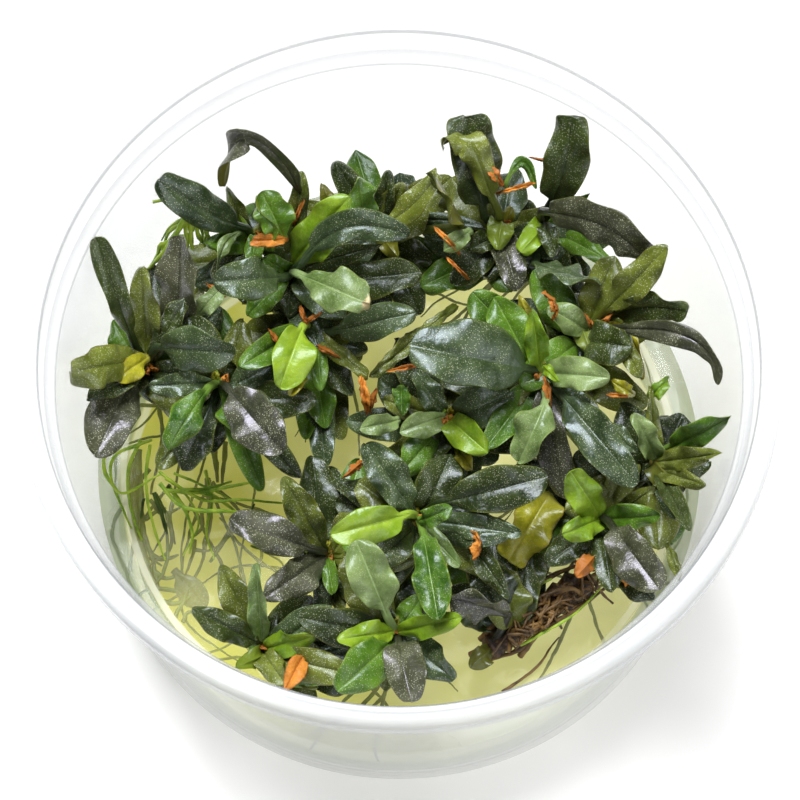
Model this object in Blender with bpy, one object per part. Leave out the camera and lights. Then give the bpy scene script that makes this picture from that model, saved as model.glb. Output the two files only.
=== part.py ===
"""Bucephalandra plantlets in their clear culture cup, on a disc of nutrient gel.

The cup, the gel, each creeping stem and each broad leaf are separate solids. The smaller leaves of a
plantlet are joined to its stem. Lengths are in millimetres and become metres when a mesh is made.
"""

import math
from dataclasses import dataclass

import bpy
from mathutils import Matrix, Vector
from mathutils.bvhtree import BVHTree

MM = 0.001

# Room between neighbouring solids
GAP = 0.3

# Cup: a turned tub with a stepped collar and a rolled rim
CUP_HEIGHT = 56.0
RIM_RADIUS = 50.5
RIM_SKIRT = 2.8
RIM_ROUND = 0.7
MOUTH_RADIUS = 47.35
SHOULDER_HEIGHT = 49.5
SHOULDER_RADIUS = 45.5
SHOULDER_STEP = 1.4
BASE_RADIUS = 41.6
FOOT_ROUND = 1.3
WALL = 0.8
CUP_SIDES = 36

# Gel: fills the cup up to this height and climbs the wall a little
GEL_TOP = 15.0
GEL_CREEP = 0.7
GEL_CREEP_WIDTH = 1.6

# Leaf blade and stalk
BLADE_THICKNESS = 0.5
STALK_WIDTH = 1.2
STALK_SHARE = 0.14
LEAF_STATIONS = (0.0, 0.12, 0.25, 0.4, 0.55, 0.7, 0.84, 0.95)
YOUNG_STATIONS = (0.0, 0.24, 0.46, 0.7, 0.92)

# Stems
STEM_SIDES = 6
STEM_STATIONS = 5
STEM_TAPER = 0.8

# Where the small leaves spring from a stem, below its crown
FIRST_SCAR = 0.6
SCAR_STEP = 0.6

# Camera that took the photograph, used to place what its pixels show
CAMERA_ELEVATION = math.radians(69.36)
CAMERA_DISTANCE = 600.0
CAMERA_AIM_HEIGHT = 40.55
CAMERA_FOCUS = 4466.0
CAMERA_CENTRE = (399.0, 400.0)

# Outline of a leaf: where it is widest, and how full it is
OVAL = (0.95, 0.62)
LANCE = (0.75, 0.85)
SPATULA = (1.35, 0.68)
STRAP = (1.0, 0.38)
BLUNT = (1.15, 0.26)

# Steps in which a leaf is moved up or down its line of sight, or cut back at its foot, to clear its
# neighbours
LIFT_STEP = 0.5
LIFT_STEPS = 12
TRIM_STEP = 0.5
TRIM_STEPS = 7

TINTS = {
    "dark": (0.045, 0.065, 0.028),
    "slate": (0.095, 0.13, 0.10),
    "mauve": (0.16, 0.15, 0.13),
    "olive": (0.085, 0.10, 0.025),
    "green": (0.07, 0.16, 0.03),
    "bright": (0.20, 0.42, 0.03),
    "yellow": (0.45, 0.48, 0.02),
    "pale": (0.22, 0.32, 0.18),
    "stem": (0.20, 0.10, 0.02),
    "wood": (0.05, 0.02, 0.008),
    "gel": (0.80, 0.72, 0.30),
    "cup": (0.90, 0.92, 0.95),
}


@dataclass(frozen=True)
class Leaf:
    """One leaf. Base and tip are a pixel of the photograph and a height above the cup's underside.

    A leaf with no base of its own springs from its plantlet's stem.
    """

    base: tuple
    tip: tuple
    width: float
    tint: str = "green"
    form: tuple = OVAL
    arch: float = 1.5
    hook: float = 0.0
    sway: float = 0.0
    swerve: float = 0.0
    lean: float = 0.0
    fold: float = 14.0
    roll: float = 0.0


@dataclass(frozen=True)
class Shoot:
    """One plantlet: its stem from crown to gel, its broad leaves, and the small ones joined to it."""

    name: str
    stem: tuple
    girth: float
    leaves: tuple
    young: tuple = ()
    tint: str = "stem"


SHOOTS = (
    Shoot(
        "left_shoot", ((147, 362, 30), (150, 377, 24), (158, 398, 17)), 1.3,
        leaves=(
            Leaf((135, 345, 33), (98, 238, 47), 3.3, "olive", STRAP, arch=0.8),
            Leaf((137, 360, 34), (71, 372, 45.5), 4.8, "green", SPATULA, arch=2.0, hook=1.0, fold=-8),
            Leaf((157, 347, 34), (235, 353, 37), 6.3, "slate", OVAL, arch=2.5, fold=8),
            Leaf((136, 374, 31), (95, 457, 37), 6.6, "mauve", OVAL, arch=1.8, fold=6),
            Leaf((178, 340, 28), (181, 235, 41), 6.0, "mauve", OVAL, arch=1.5),
        ),
        young=(
            Leaf(None, (140, 267, 44), 4.4, "olive", OVAL, arch=1.5),
            Leaf(None, (88, 400, 37), 3.6, "dark", OVAL),
            Leaf(None, (112, 345, 36), 2.2, "olive", LANCE),
            Leaf(None, (187, 299, 33), 3.2, "dark", OVAL),
        ),
    ),
    Shoot(
        "back_left_shoot", ((250, 236, 29), (254, 260, 22), (260, 280, 17)), 1.2,
        leaves=(
            Leaf((246, 228, 33), (159, 181, 46), 3.6, "slate", STRAP, arch=1.0, sway=0.8),
            Leaf((272, 248, 33), (258, 195, 41), 5.4, "pale", OVAL, arch=1.5),
        ),
        young=(
            Leaf(None, (213, 280, 31), 3.2, "dark", OVAL),
            Leaf(None, (207, 244, 37), 3.8, "green", OVAL),
            Leaf(None, (239, 214, 35), 2.0, "bright", LANCE),
        ),
    ),
    Shoot(
        "back_shoot", ((290, 266, 31), (294, 285, 24), (300, 305, 17)), 1.4,
        leaves=(
            Leaf((301, 206, 34), (223, 186, 40), 2.9, "olive", STRAP, arch=3, sway=-8.3, swerve=-1.2, lean=5.5),
            Leaf((303, 262, 36), (408, 236, 40), 3.2, "slate", STRAP, arch=2.5, sway=3.5),
            Leaf((298, 274, 35), (370, 305, 41), 5.6, "pale", SPATULA, arch=1.5, fold=6),
            Leaf((283, 278, 34), (213, 282, 40), 5.8, "slate", OVAL, arch=2.0),
            Leaf((302, 284, 29), (422, 273, 33), 5.4, "dark", OVAL, arch=1.5),
        ),
        young=(
            Leaf(None, (350, 197, 42), 3.4, "bright", LANCE, arch=2.0),
            Leaf(None, (302, 171, 40), 3.2, "olive", OVAL),
            Leaf(None, (385, 243, 35), 2.8, "dark", LANCE),
        ),
    ),
    Shoot(
        "upper_back_shoot", ((378, 228, 29), (384, 245, 23), (392, 262, 17)), 1.2,
        leaves=(
            Leaf((366, 222, 35), (358, 177, 43), 4.9, "green", OVAL, arch=1.5),
            Leaf((462, 226, 32), (430, 171, 42), 6.0, "olive", OVAL, arch=1.5),
        ),
        young=(
            Leaf(None, (335, 162, 40), 4.0, "dark", OVAL),
            Leaf(None, (402, 183, 38), 4.6, "olive", OVAL),
            Leaf(None, (484, 226, 35), 1.9, "slate", STRAP, sway=1.5),
            Leaf(None, (388, 171, 40), 3.2, "dark", OVAL),
            Leaf(None, (421, 190, 37), 3.0, "slate", OVAL),
        ),
    ),
    Shoot(
        "back_right_shoot", ((500, 228, 30), (498, 248, 23), (496, 268, 17)), 1.3,
        leaves=(
            Leaf((484, 216, 33), (465, 116, 45.5), 6.9, "mauve", BLUNT, arch=0.8),
            Leaf((498, 210, 35), (441, 150, 44), 3.8, "green", OVAL, arch=1.5),
        ),
        young=(
            Leaf(None, (497, 250, 33), 3.6, "green", OVAL, arch=2.5),
            Leaf(None, (517, 291, 31), 4.4, "mauve", OVAL, arch=2.0),
            Leaf(None, (454, 284, 27), 4.6, "dark", OVAL),
        ),
    ),
    Shoot(
        "rear_right_shoot", ((545, 224, 29), (550, 245, 23), (556, 268, 17)), 1.3,
        leaves=(
            Leaf((548, 208, 32), (570, 118, 44.5), 6.2, "dark", BLUNT, arch=1.0, sway=-0.8),
            Leaf((541, 211, 35), (646, 254, 41), 4.2, "slate", OVAL, arch=2.0, sway=2.6),
            Leaf((535, 264, 31), (602, 285, 37), 5.0, "slate", OVAL, arch=2.0),
        ),
        young=(
            Leaf(None, (520, 252, 33), 3.4, "yellow", OVAL, arch=2.0),
            Leaf(None, (611, 250, 33), 3.6, "bright", OVAL),
            Leaf(None, (590, 193, 36), 2.0, "green", LANCE),
        ),
    ),
    Shoot(
        "right_shoot", ((592, 326, 32), (577, 345, 28), (562, 372, 22), (552, 396, 17)), 1.4,
        leaves=(
            Leaf((604, 312, 35), (668, 246, 46), 4.6, "olive", OVAL, arch=1.5),
            Leaf((610, 318, 33), (688, 311, 41), 4.2, "dark", LANCE, arch=1.5, sway=1.0),
            Leaf((610, 328, 35), (718, 382, 40), 2.8, "slate", STRAP, arch=3.0, hook=1.5, sway=3.6),
        ),
        young=(
            Leaf(None, (642, 380, 33), 2.0, "yellow", STRAP, arch=2.0, sway=3.0),
            Leaf(None, (547, 308, 36), 4.0, "pale", OVAL),
            Leaf(None, (614, 256, 36), 5.2, "olive", OVAL),
            Leaf(None, (593, 357, 33), 3.2, "pale", OVAL, arch=2.0),
        ),
        tint="wood",
    ),
    Shoot(
        "centre_shoot", ((540, 370, 35), (534, 388, 27), (522, 412, 17)), 1.4,
        leaves=(
            Leaf((524, 368, 37), (412, 346, 42), 9.6, "slate", OVAL, arch=2.0, fold=10),
            Leaf((547, 398, 34), (520, 460, 32), 5.2, "slate", OVAL, arch=2.5),
            Leaf((556, 389, 34), (637, 485, 36), 5.8, "slate", OVAL, arch=2.0),
            Leaf((522, 346, 32), (472, 292, 38), 5.4, "green", OVAL, arch=1.0),
        ),
        young=(
            Leaf(None, (532, 310, 44), 3.4, "bright", LANCE, arch=1.0),
            Leaf(None, (610, 378, 39), 4.6, "pale", OVAL, arch=1.5),
            Leaf(None, (565, 499, 29), 4.8, "mauve", OVAL, arch=2.0),
        ),
    ),
    Shoot(
        "middle_shoot", ((308, 324, 27), (314, 340, 22), (322, 356, 17)), 1.2,
        leaves=(
            Leaf((330, 332, 29), (416, 313, 34), 5.0, "slate", OVAL, arch=1.5),
            Leaf((303, 326, 31), (280, 388, 32), 5.6, "bright", OVAL, arch=2.0),
        ),
        young=(
            Leaf(None, (240, 367, 33), 4.2, "green", OVAL),
            Leaf(None, (352, 395, 26), 4.4, "dark", OVAL),
            Leaf(None, (368, 377, 31), 2.4, "yellow", STRAP),
            Leaf(None, (325, 428, 24), 4.4, "green", OVAL),
            Leaf(None, (272, 402, 26), 3.4, "olive", OVAL),
        ),
    ),
    Shoot(
        "left_middle_shoot", ((219, 381, 31), (224, 400, 24), (230, 418, 17)), 1.3,
        leaves=(
            Leaf((208, 388, 34), (168, 450, 36), 4.8, "green", SPATULA, arch=2.5, fold=-8),
            Leaf((214, 398, 30), (182, 470, 29), 5.6, "dark", OVAL, arch=1.5),
            Leaf((226, 386, 34), (283, 452, 36), 6.6, "mauve", OVAL, arch=2.0),
        ),
        young=(
            Leaf(None, (150, 386, 33), 3.4, "slate", OVAL, arch=1.5),
            Leaf(None, (262, 490, 27), 3.4, "green", OVAL),
        ),
    ),
    Shoot(
        "small_middle_shoot", ((446, 414, 30), (446, 430, 23), (444, 446, 17)), 1.0,
        leaves=(),
        young=(
            Leaf(None, (400, 432, 32), 3.6, "pale", OVAL),
            Leaf(None, (488, 453, 33), 4.2, "bright", OVAL, arch=2.0),
            Leaf(None, (414, 371, 33), 3.4, "slate", OVAL),
            Leaf(None, (500, 401, 30), 2.6, "dark", OVAL),
            Leaf(None, (428, 468, 27), 3.4, "dark", OVAL),
            Leaf(None, (464, 478, 25), 3.0, "slate", OVAL),
        ),
    ),
    Shoot(
        "front_middle_shoot", ((416, 516, 31), (420, 532, 24), (424, 550, 17)), 1.3,
        leaves=(
            Leaf((408, 514, 34), (331, 535, 37), 5.0, "bright", OVAL, arch=1.5),
            Leaf((422, 526, 33), (438, 620, 36), 4.8, "green", OVAL, arch=1.5),
            Leaf((438, 504, 33), (548, 476, 37), 6.0, "dark", OVAL, arch=1.5),
        ),
        young=(
            Leaf(None, (366, 444, 37), 5.2, "slate", OVAL, arch=2.0),
            Leaf(None, (521, 532, 33), 3.4, "slate", OVAL),
            Leaf(None, (335, 480, 29), 3.6, "dark", OVAL),
            Leaf(None, (460, 566, 31), 2.6, "pale", OVAL),
            Leaf(None, (385, 592, 27), 4.0, "dark", OVAL),
        ),
    ),
    Shoot(
        "front_left_shoot", ((326, 551, 27), (330, 565, 22), (334, 580, 17)), 1.1,
        leaves=(Leaf((316, 550, 29), (229, 520, 35), 5.2, "mauve", OVAL, arch=1.5),),
        young=(
            Leaf(None, (283, 477, 36), 4.2, "olive", OVAL),
            Leaf(None, (263, 598, 32), 5.0, "mauve", OVAL),
            Leaf(None, (333, 594, 27), 2.4, "green", OVAL),
        ),
    ),
    Shoot(
        "front_shoot", ((395, 629, 28), (396, 642, 22), (397, 655, 17)), 1.2,
        leaves=(
            Leaf((388, 618, 31), (356, 540, 38), 6.2, "pale", OVAL, arch=1.5),
            Leaf((398, 640, 28), (411, 702, 33), 4.6, "mauve", OVAL, arch=2.0),
        ),
        young=(
            Leaf(None, (337, 640, 33), 3.8, "bright", OVAL),
            Leaf(None, (462, 617, 35), 3.4, "bright", OVAL),
            Leaf(None, (455, 680, 31), 3.8, "olive", OVAL),
            Leaf(None, (316, 656, 27), 3.8, "slate", OVAL),
        ),
    ),
    Shoot(
        "front_left_corner_shoot", ((263, 643, 25), (264, 655, 21), (265, 664, 17)), 1.1,
        leaves=(),
        young=(
            Leaf(None, (192, 608, 32), 3.8, "dark", OVAL),
            Leaf(None, (256, 563, 34), 3.2, "pale", STRAP, fold=35),
            Leaf(None, (315, 635, 31), 3.6, "bright", OVAL),
            Leaf(None, (286, 685, 29), 3.6, "olive", OVAL),
            Leaf(None, (220, 565, 30), 4.2, "olive", OVAL),
            Leaf(None, (236, 668, 28), 2.8, "green", OVAL),
        ),
    ),
    Shoot(
        "right_edge_shoot", ((657, 458, 29), (652, 476, 23), (644, 494, 17)), 1.2,
        leaves=(Leaf((667, 449, 32), (731, 416, 47), 3.8, "green", LANCE, arch=1.5),),
        young=(
            Leaf(None, (634, 414, 37), 4.0, "pale", OVAL, fold=30),
            Leaf(None, (721, 453, 42), 3.2, "olive", LANCE),
            Leaf(None, (683, 493, 33), 4.6, "slate", OVAL, arch=2.0),
            Leaf(None, (650, 386, 37), 2.2, "olive", LANCE),
            Leaf(None, (689, 530, 42), 2.8, "dark", OVAL),
            Leaf(None, (705, 485, 41), 2.6, "olive", OVAL),
        ),
    ),
    Shoot(
        "right_front_shoot", ((600, 515, 29), (597, 532, 23), (592, 548, 17)), 1.3,
        leaves=(Leaf((609, 522, 31), (660, 590, 36), 6.0, "mauve", OVAL, arch=1.5),),
        young=(
            Leaf(None, (565, 473, 37), 3.4, "bright", LANCE),
            Leaf(None, (562, 535, 33), 3.0, "bright", LANCE),
            Leaf(None, (662, 515, 36), 3.8, "green", OVAL),
            Leaf(None, (612, 592, 31), 4.4, "mauve", OVAL),
            Leaf(None, (546, 564, 28), 4.0, "dark", OVAL),
            Leaf(None, (655, 487, 33), 2.8, "olive", OVAL),
        ),
    ),
    Shoot(
        "old_rhizome", ((484, 652, 18.5), (512, 632, 19), (548, 606, 19), (586, 582, 18.5)), 2.4,
        leaves=(Leaf((508, 614, 24), (450, 597, 29), 6.0, "mauve", OVAL, arch=1.5),),
        young=(Leaf(None, (470, 668, 22), 3.0, "dark", OVAL),),
        tint="wood",
    ),
)


def sight_axes():
    """Forward and upward directions of the camera."""
    forward = Vector((0.0, math.cos(CAMERA_ELEVATION), -math.sin(CAMERA_ELEVATION)))
    upward = Vector((0.0, math.sin(CAMERA_ELEVATION), math.cos(CAMERA_ELEVATION)))
    return forward, upward


def at_pixel(column, row, height):
    """Place in the cup, in millimetres, that a pixel of the photograph shows at a given height."""
    forward, upward = sight_axes()
    eye = Vector((0.0, 0.0, CAMERA_AIM_HEIGHT)) - forward * CAMERA_DISTANCE
    ray = forward * CAMERA_FOCUS + upward * (CAMERA_CENTRE[1] - row)
    ray.x = column - CAMERA_CENTRE[0]
    return eye + ray * ((height - eye.z) / ray.z)


def inner_radius(height):
    """Inside radius of the cup's body wall at a height."""
    inner_base = BASE_RADIUS - WALL
    return inner_base + (SHOULDER_RADIUS - inner_base) * height / SHOULDER_HEIGHT


def tinted(name, tint, roughness=0.35):
    """Material with one of the part's colours."""
    material = bpy.data.materials.new(name + "_finish")
    material.use_nodes = True
    shader = material.node_tree.nodes["Principled BSDF"]
    shader.inputs["Base Color"].default_value = (*TINTS[tint], 1.0)
    shader.inputs["Roughness"].default_value = roughness
    shader.inputs["Metallic"].default_value = 0.0
    return material


def add_object(name, points, faces, tint):
    """Object made of a closed mesh whose points are in millimetres."""
    mesh = bpy.data.meshes.new(name)
    mesh.from_pydata([point * MM for point in points], [], faces)
    mesh.update()
    mesh.shade_smooth()
    mesh.set_sharp_from_angle(angle=math.radians(40))
    mesh.materials.append(tinted(name, tint))
    made = bpy.data.objects.new(name, mesh)
    bpy.context.scene.collection.objects.link(made)
    return made


def turned(outline, sides):
    """Points and faces of an outline turned about the Z axis; a radius of 0 is a single point."""
    points = []
    rings = []
    for radius, height in outline:
        if radius == 0.0:
            rings.append([len(points)])
            points.append(Vector((0.0, 0.0, height)))
            continue
        rings.append(list(range(len(points), len(points) + sides)))
        for side in range(sides):
            turn = 2.0 * math.pi * side / sides
            points.append(Vector((radius * math.cos(turn), radius * math.sin(turn), height)))
    faces = []
    for lower, upper in zip(rings, rings[1:]):
        for side in range(sides):
            after = (side + 1) % sides
            if len(lower) == 1:
                faces.append((lower[0], upper[after], upper[side]))
            elif len(upper) == 1:
                faces.append((lower[side], lower[after], upper[0]))
            else:
                faces.append((lower[side], lower[after], upper[after], upper[side]))
    return points, faces


def cup_outline():
    """Half section of the cup, from the middle of its underside round its rim to its floor."""
    collar_foot = SHOULDER_HEIGHT + SHOULDER_STEP
    collar_radius = MOUTH_RADIUS - 0.3
    skirt_foot = CUP_HEIGHT - RIM_SKIRT
    skirt_inside = RIM_RADIUS - WALL
    return (
        (0.0, 0.0),
        (BASE_RADIUS - FOOT_ROUND, 0.0),
        (BASE_RADIUS - 0.3 * FOOT_ROUND, 0.3 * FOOT_ROUND),
        (BASE_RADIUS + 0.1, FOOT_ROUND),
        (SHOULDER_RADIUS + WALL, SHOULDER_HEIGHT - 0.3),
        (collar_radius + WALL, collar_foot),
        (MOUTH_RADIUS + WALL, CUP_HEIGHT - WALL - 0.3),
        (skirt_inside - 0.2, CUP_HEIGHT - WALL - 0.3),
        (skirt_inside, skirt_foot),
        (RIM_RADIUS, skirt_foot),
        (RIM_RADIUS, CUP_HEIGHT - RIM_ROUND),
        (RIM_RADIUS - RIM_ROUND, CUP_HEIGHT),
        (MOUTH_RADIUS + 0.2, CUP_HEIGHT),
        (MOUTH_RADIUS, CUP_HEIGHT - 0.2),
        (collar_radius, collar_foot),
        (SHOULDER_RADIUS, SHOULDER_HEIGHT),
        (inner_radius(WALL + FOOT_ROUND), WALL + FOOT_ROUND),
        (inner_radius(WALL) - FOOT_ROUND, WALL),
        (0.0, WALL),
    )


def gel_outline():
    """Half section of the gel, from the middle of its underside to the middle of its top."""
    floor = WALL + GAP
    foot = floor + FOOT_ROUND
    edge = GEL_TOP + GEL_CREEP
    return (
        (0.0, floor),
        (inner_radius(floor) - FOOT_ROUND - GAP, floor),
        (inner_radius(foot) - GAP, foot),
        (inner_radius(edge) - GAP, edge),
        (inner_radius(GEL_TOP) - GAP - 0.4 * GEL_CREEP_WIDTH, GEL_TOP + 0.2 * GEL_CREEP),
        (inner_radius(GEL_TOP) - GAP - GEL_CREEP_WIDTH, GEL_TOP),
        (0.0, GEL_TOP),
    )


def smooth_step(share):
    """Ease from 0 to 1."""
    share = min(1.0, max(0.0, share))
    return share * share * (3.0 - 2.0 * share)


def leaf_curve(leaf, start, lift):
    """Function that gives the leaf's midrib from its foot (0) to its tip (1)."""
    end = at_pixel(*leaf.tip)
    chord = end - start
    towards_eye = -sight_axes()[0]
    across = towards_eye.cross(chord).normalized()
    above = chord.cross(across).normalized()
    near_pull = above * (leaf.arch - leaf.hook) + across * (leaf.sway - leaf.swerve)
    far_pull = above * (leaf.arch + leaf.hook) + across * (leaf.sway + leaf.swerve)
    first = start + chord / 3.0 + near_pull * (4.0 / 3.0)
    second = start + chord / 1.5 + far_pull * (4.0 / 3.0) + chord.normalized() * leaf.lean

    def midrib(share):
        rest = 1.0 - share
        place = start * rest ** 3 + first * (3.0 * rest * rest * share)
        place += second * (3.0 * rest * share * share) + end * share ** 3
        return place + towards_eye * (lift * smooth_step(share / 0.4))

    return midrib


def half_width(leaf, share):
    """Half the leaf's width at a share of its length: a stalk that opens into the blade."""
    along = (share - STALK_SHARE) / (1.0 - STALK_SHARE)
    blade = 0.0
    if 0.0 < along < 1.0:
        blade = 0.5 * leaf.width * math.sin(math.pi * along ** leaf.form[0]) ** leaf.form[1]
    stalk = 0.5 * min(STALK_WIDTH, 0.5 * leaf.width) * (1.0 - smooth_step(share / 0.9))
    return max(blade, stalk, 0.15)


def leaf_solid(leaf, start, lift, trim, stations):
    """Points and faces of a leaf: a diamond section that follows the midrib, ending in a point."""
    midrib = leaf_curve(leaf, start, lift)
    length = (midrib(1.0) - midrib(0.0)).length
    first = trim / length
    shares = [first + (1.0 - first) * station for station in stations]
    facing = -sight_axes()[0]
    points = []
    for share in shares:
        along = (midrib(share + 0.01) - midrib(share - 0.01)).normalized()
        facing = (facing - along * facing.dot(along)).normalized()
        normal = Matrix.Rotation(math.radians(leaf.roll), 3, along) @ facing
        across = along.cross(normal)
        reach = half_width(leaf, share)
        fold = math.radians(leaf.fold) * smooth_step(share / 0.3)
        out = across * (reach * math.cos(fold))
        raised = normal * (reach * math.sin(fold))
        swelling = 1.0 - smooth_step(share / (2.0 * STALK_SHARE))
        half_thickness = normal * (0.5 * BLADE_THICKNESS * (1.0 + swelling))
        centre = midrib(share)
        points += [centre + out + raised, centre + half_thickness]
        points += [centre - out + raised, centre - half_thickness]
    points.append(midrib(1.0))
    faces = [(0, 1, 2, 3)]
    for ring in range(0, len(points) - 5, 4):
        for corner in range(4):
            after = (corner + 1) % 4
            faces.append((ring + corner, ring + 4 + corner, ring + 4 + after, ring + after))
    last = len(points) - 5
    for corner in range(4):
        faces.append((last + corner, len(points) - 1, last + (corner + 1) % 4))
    return points, faces


def stem_route(shoot):
    """Evenly spread points on a smooth curve through the stem's own points."""
    marks = [at_pixel(*mark) for mark in shoot.stem]
    ends = [2.0 * marks[0] - marks[1], *marks, 2.0 * marks[-1] - marks[-2]]
    places = []
    spans = len(marks) - 1
    for step in range(STEM_STATIONS + 1):
        position = spans * step / STEM_STATIONS
        span = min(spans - 1, int(position))
        share = position - span
        before, start, end, after = ends[span:span + 4]
        curve = 2.0 * start + (end - before) * share
        curve += (2.0 * before - 5.0 * start + 4.0 * end - after) * share ** 2
        curve += (3.0 * start - before - 3.0 * end + after) * share ** 3
        places.append(0.5 * curve)
    return places


def stem_solid(shoot):
    """Points and faces of a stem: a tapered round rod, thicker at every second leaf scar."""
    route = stem_route(shoot)
    points = []
    for index, place in enumerate(route):
        ahead = route[min(index + 1, len(route) - 1)]
        behind = route[max(index - 1, 0)]
        along = (ahead - behind).normalized()
        across = along.cross(Vector((1.0, 0.0, 0.0))).normalized()
        outward = along.cross(across)
        taper = STEM_TAPER + (1.0 - STEM_TAPER) * index / STEM_STATIONS
        radius = shoot.girth * taper * (1.0 if index % 2 else 1.12)
        for side in range(STEM_SIDES):
            turn = 2.0 * math.pi * side / STEM_SIDES
            points.append(place + (across * math.cos(turn) + outward * math.sin(turn)) * radius)
    faces = [tuple(reversed(range(STEM_SIDES)))]
    for ring in range(0, STEM_STATIONS * STEM_SIDES, STEM_SIDES):
        for side in range(STEM_SIDES):
            after = (side + 1) % STEM_SIDES
            faces.append((ring + side, ring + after, ring + STEM_SIDES + after, ring + STEM_SIDES + side))
    faces.append(tuple(range(len(points) - STEM_SIDES, len(points))))
    return points, faces


class Solid:
    """A placed solid, ready to be tested against others."""

    def __init__(self, points, faces):
        self.points = points
        self.faces = faces
        self.tree = BVHTree.FromPolygons(points, faces)
        middles = [sum((points[corner] for corner in face), Vector()) / len(face) for face in faces]
        self.probes = points + middles
        self.low = [min(point[axis] for point in points) - GAP for axis in range(3)]
        self.high = [max(point[axis] for point in points) + GAP for axis in range(3)]

    def near(self, other):
        """True where the two solids cross or come closer than the gap."""
        for axis in range(3):
            if self.low[axis] > other.high[axis] or other.low[axis] > self.high[axis]:
                return False
        if self.tree.overlap(other.tree):
            return True
        if any(other.tree.find_nearest(probe, GAP)[0] for probe in self.probes):
            return True
        return any(self.tree.find_nearest(probe, GAP)[0] for probe in other.probes)

    def inside_cup(self):
        """True where every point is clear of the wall and of the gel."""
        for point in self.points:
            flat = math.hypot(point.x, point.y)
            if flat > inner_radius(point.z) - 2.0 * GAP or point.z < GEL_TOP + GAP:
                return False
        return True


def moves(trims):
    """Every pair of lift and trim that a leaf may be given, the smallest change first."""
    pairs = []
    for trim_step in range(trims):
        for lift_step in range(-LIFT_STEPS, LIFT_STEPS + 1):
            pairs.append((LIFT_STEP * lift_step, TRIM_STEP * trim_step))
    return sorted(pairs, key=lambda pair: (abs(pair[0]) + 1.2 * pair[1], pair))


def settle(leaf, start, neighbours, stations):
    """Solid of a leaf, moved by the least that clears its neighbours, the wall and the gel."""
    trims = TRIM_STEPS if leaf.base else 1
    for lift, trim in moves(trims):
        solid = Solid(*leaf_solid(leaf, start, lift, trim, stations))
        if solid.inside_cup() and not any(solid.near(other) for other in neighbours):
            return solid
    print("no clear place for", leaf)
    return Solid(*leaf_solid(leaf, start, 0.0, 0.0, stations))


def build_broad_leaves(placed):
    """Each broad leaf is a solid of its own, clear of all that is placed before it."""
    for shoot in SHOOTS:
        for index, leaf in enumerate(shoot.leaves, 1):
            neighbours = [solid for group in placed.values() for solid in group]
            solid = settle(leaf, at_pixel(*leaf.base), neighbours, LEAF_STATIONS)
            name = f"{shoot.name}_leaf_{index}"
            placed[name] = [solid]
            add_object(name, solid.points, solid.faces, leaf.tint)


def build_stem(shoot, placed):
    """A stem, with the small leaves that are joined to it one below the other."""
    stem = placed[shoot.name][0]
    made = add_object(shoot.name + "_stem", stem.points, stem.faces, shoot.tint)
    crown, below = stem_route(shoot)[:2]
    down = (below - crown).normalized()
    sprouts = bpy.data.collections.new(shoot.name + "_young")
    bpy.context.scene.collection.children.link(sprouts)
    for index, leaf in enumerate(shoot.young):
        neighbours = [solid for key, group in placed.items() if key != shoot.name for solid in group]
        start = crown + down * (FIRST_SCAR + SCAR_STEP * index)
        solid = settle(leaf, start, neighbours, YOUNG_STATIONS)
        placed[shoot.name].append(solid)
        young = add_object(f"{shoot.name}_young_{index}", solid.points, solid.faces, leaf.tint)
        young.hide_render = True
        young.display_type = "WIRE"
        sprouts.objects.link(young)
        bpy.context.scene.collection.objects.unlink(young)
    join = made.modifiers.new("Grow", "BOOLEAN")
    join.operation = "UNION"
    join.solver = "EXACT"
    join.operand_type = "COLLECTION"
    join.collection = sprouts


def build_plants():
    """Stems are placed first, so that every leaf keeps clear of them."""
    placed = {shoot.name: [Solid(*stem_solid(shoot))] for shoot in SHOOTS}
    build_broad_leaves(placed)
    for shoot in SHOOTS:
        build_stem(shoot, placed)


def main():
    """Clear the scene and build every piece."""
    for old in list(bpy.data.objects):
        bpy.data.objects.remove(old, do_unlink=True)
    add_object("cup", *turned(cup_outline(), CUP_SIDES), "cup")
    add_object("nutrient_gel", *turned(gel_outline(), CUP_SIDES), "gel")
    build_plants()


main()
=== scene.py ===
"""Looks of a bucephalandra clump in its culture cup: leaves, stems, roots, gel, cup and studio.

Lengths inside the classes are in millimetres, as the plant is measured. They become metres when a
mesh is made. The leaves in the tables are placed by the pixels of the photograph that show their
foot and tip, with a height above the cup's underside. Those that the solids also have take their
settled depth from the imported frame.
"""

import logging
import math
import random
from dataclasses import dataclass
from enum import Enum
from typing import Callable, Optional, Sequence

import bpy
import numpy as np
from mathutils import Matrix, Vector
from mathutils.bvhtree import BVHTree
from mathutils.kdtree import KDTree


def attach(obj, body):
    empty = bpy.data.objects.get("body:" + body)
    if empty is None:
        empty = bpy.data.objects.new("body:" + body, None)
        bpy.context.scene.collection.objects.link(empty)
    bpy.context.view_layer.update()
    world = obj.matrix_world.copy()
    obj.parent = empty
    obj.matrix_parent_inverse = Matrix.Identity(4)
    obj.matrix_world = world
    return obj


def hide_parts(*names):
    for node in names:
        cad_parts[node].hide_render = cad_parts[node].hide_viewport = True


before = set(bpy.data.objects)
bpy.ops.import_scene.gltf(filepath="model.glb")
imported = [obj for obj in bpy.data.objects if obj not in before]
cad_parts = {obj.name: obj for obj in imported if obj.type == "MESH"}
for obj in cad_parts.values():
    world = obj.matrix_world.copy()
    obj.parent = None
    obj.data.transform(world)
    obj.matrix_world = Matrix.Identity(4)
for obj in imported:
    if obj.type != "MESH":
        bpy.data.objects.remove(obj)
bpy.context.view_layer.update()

LOG = logging.getLogger("culture_cup")
MM = 0.001
BODY = "root"
FULL_TURN = 2.0 * math.pi

Pixel = tuple[float, float, float]
Colour = tuple[float, float, float]


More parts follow.
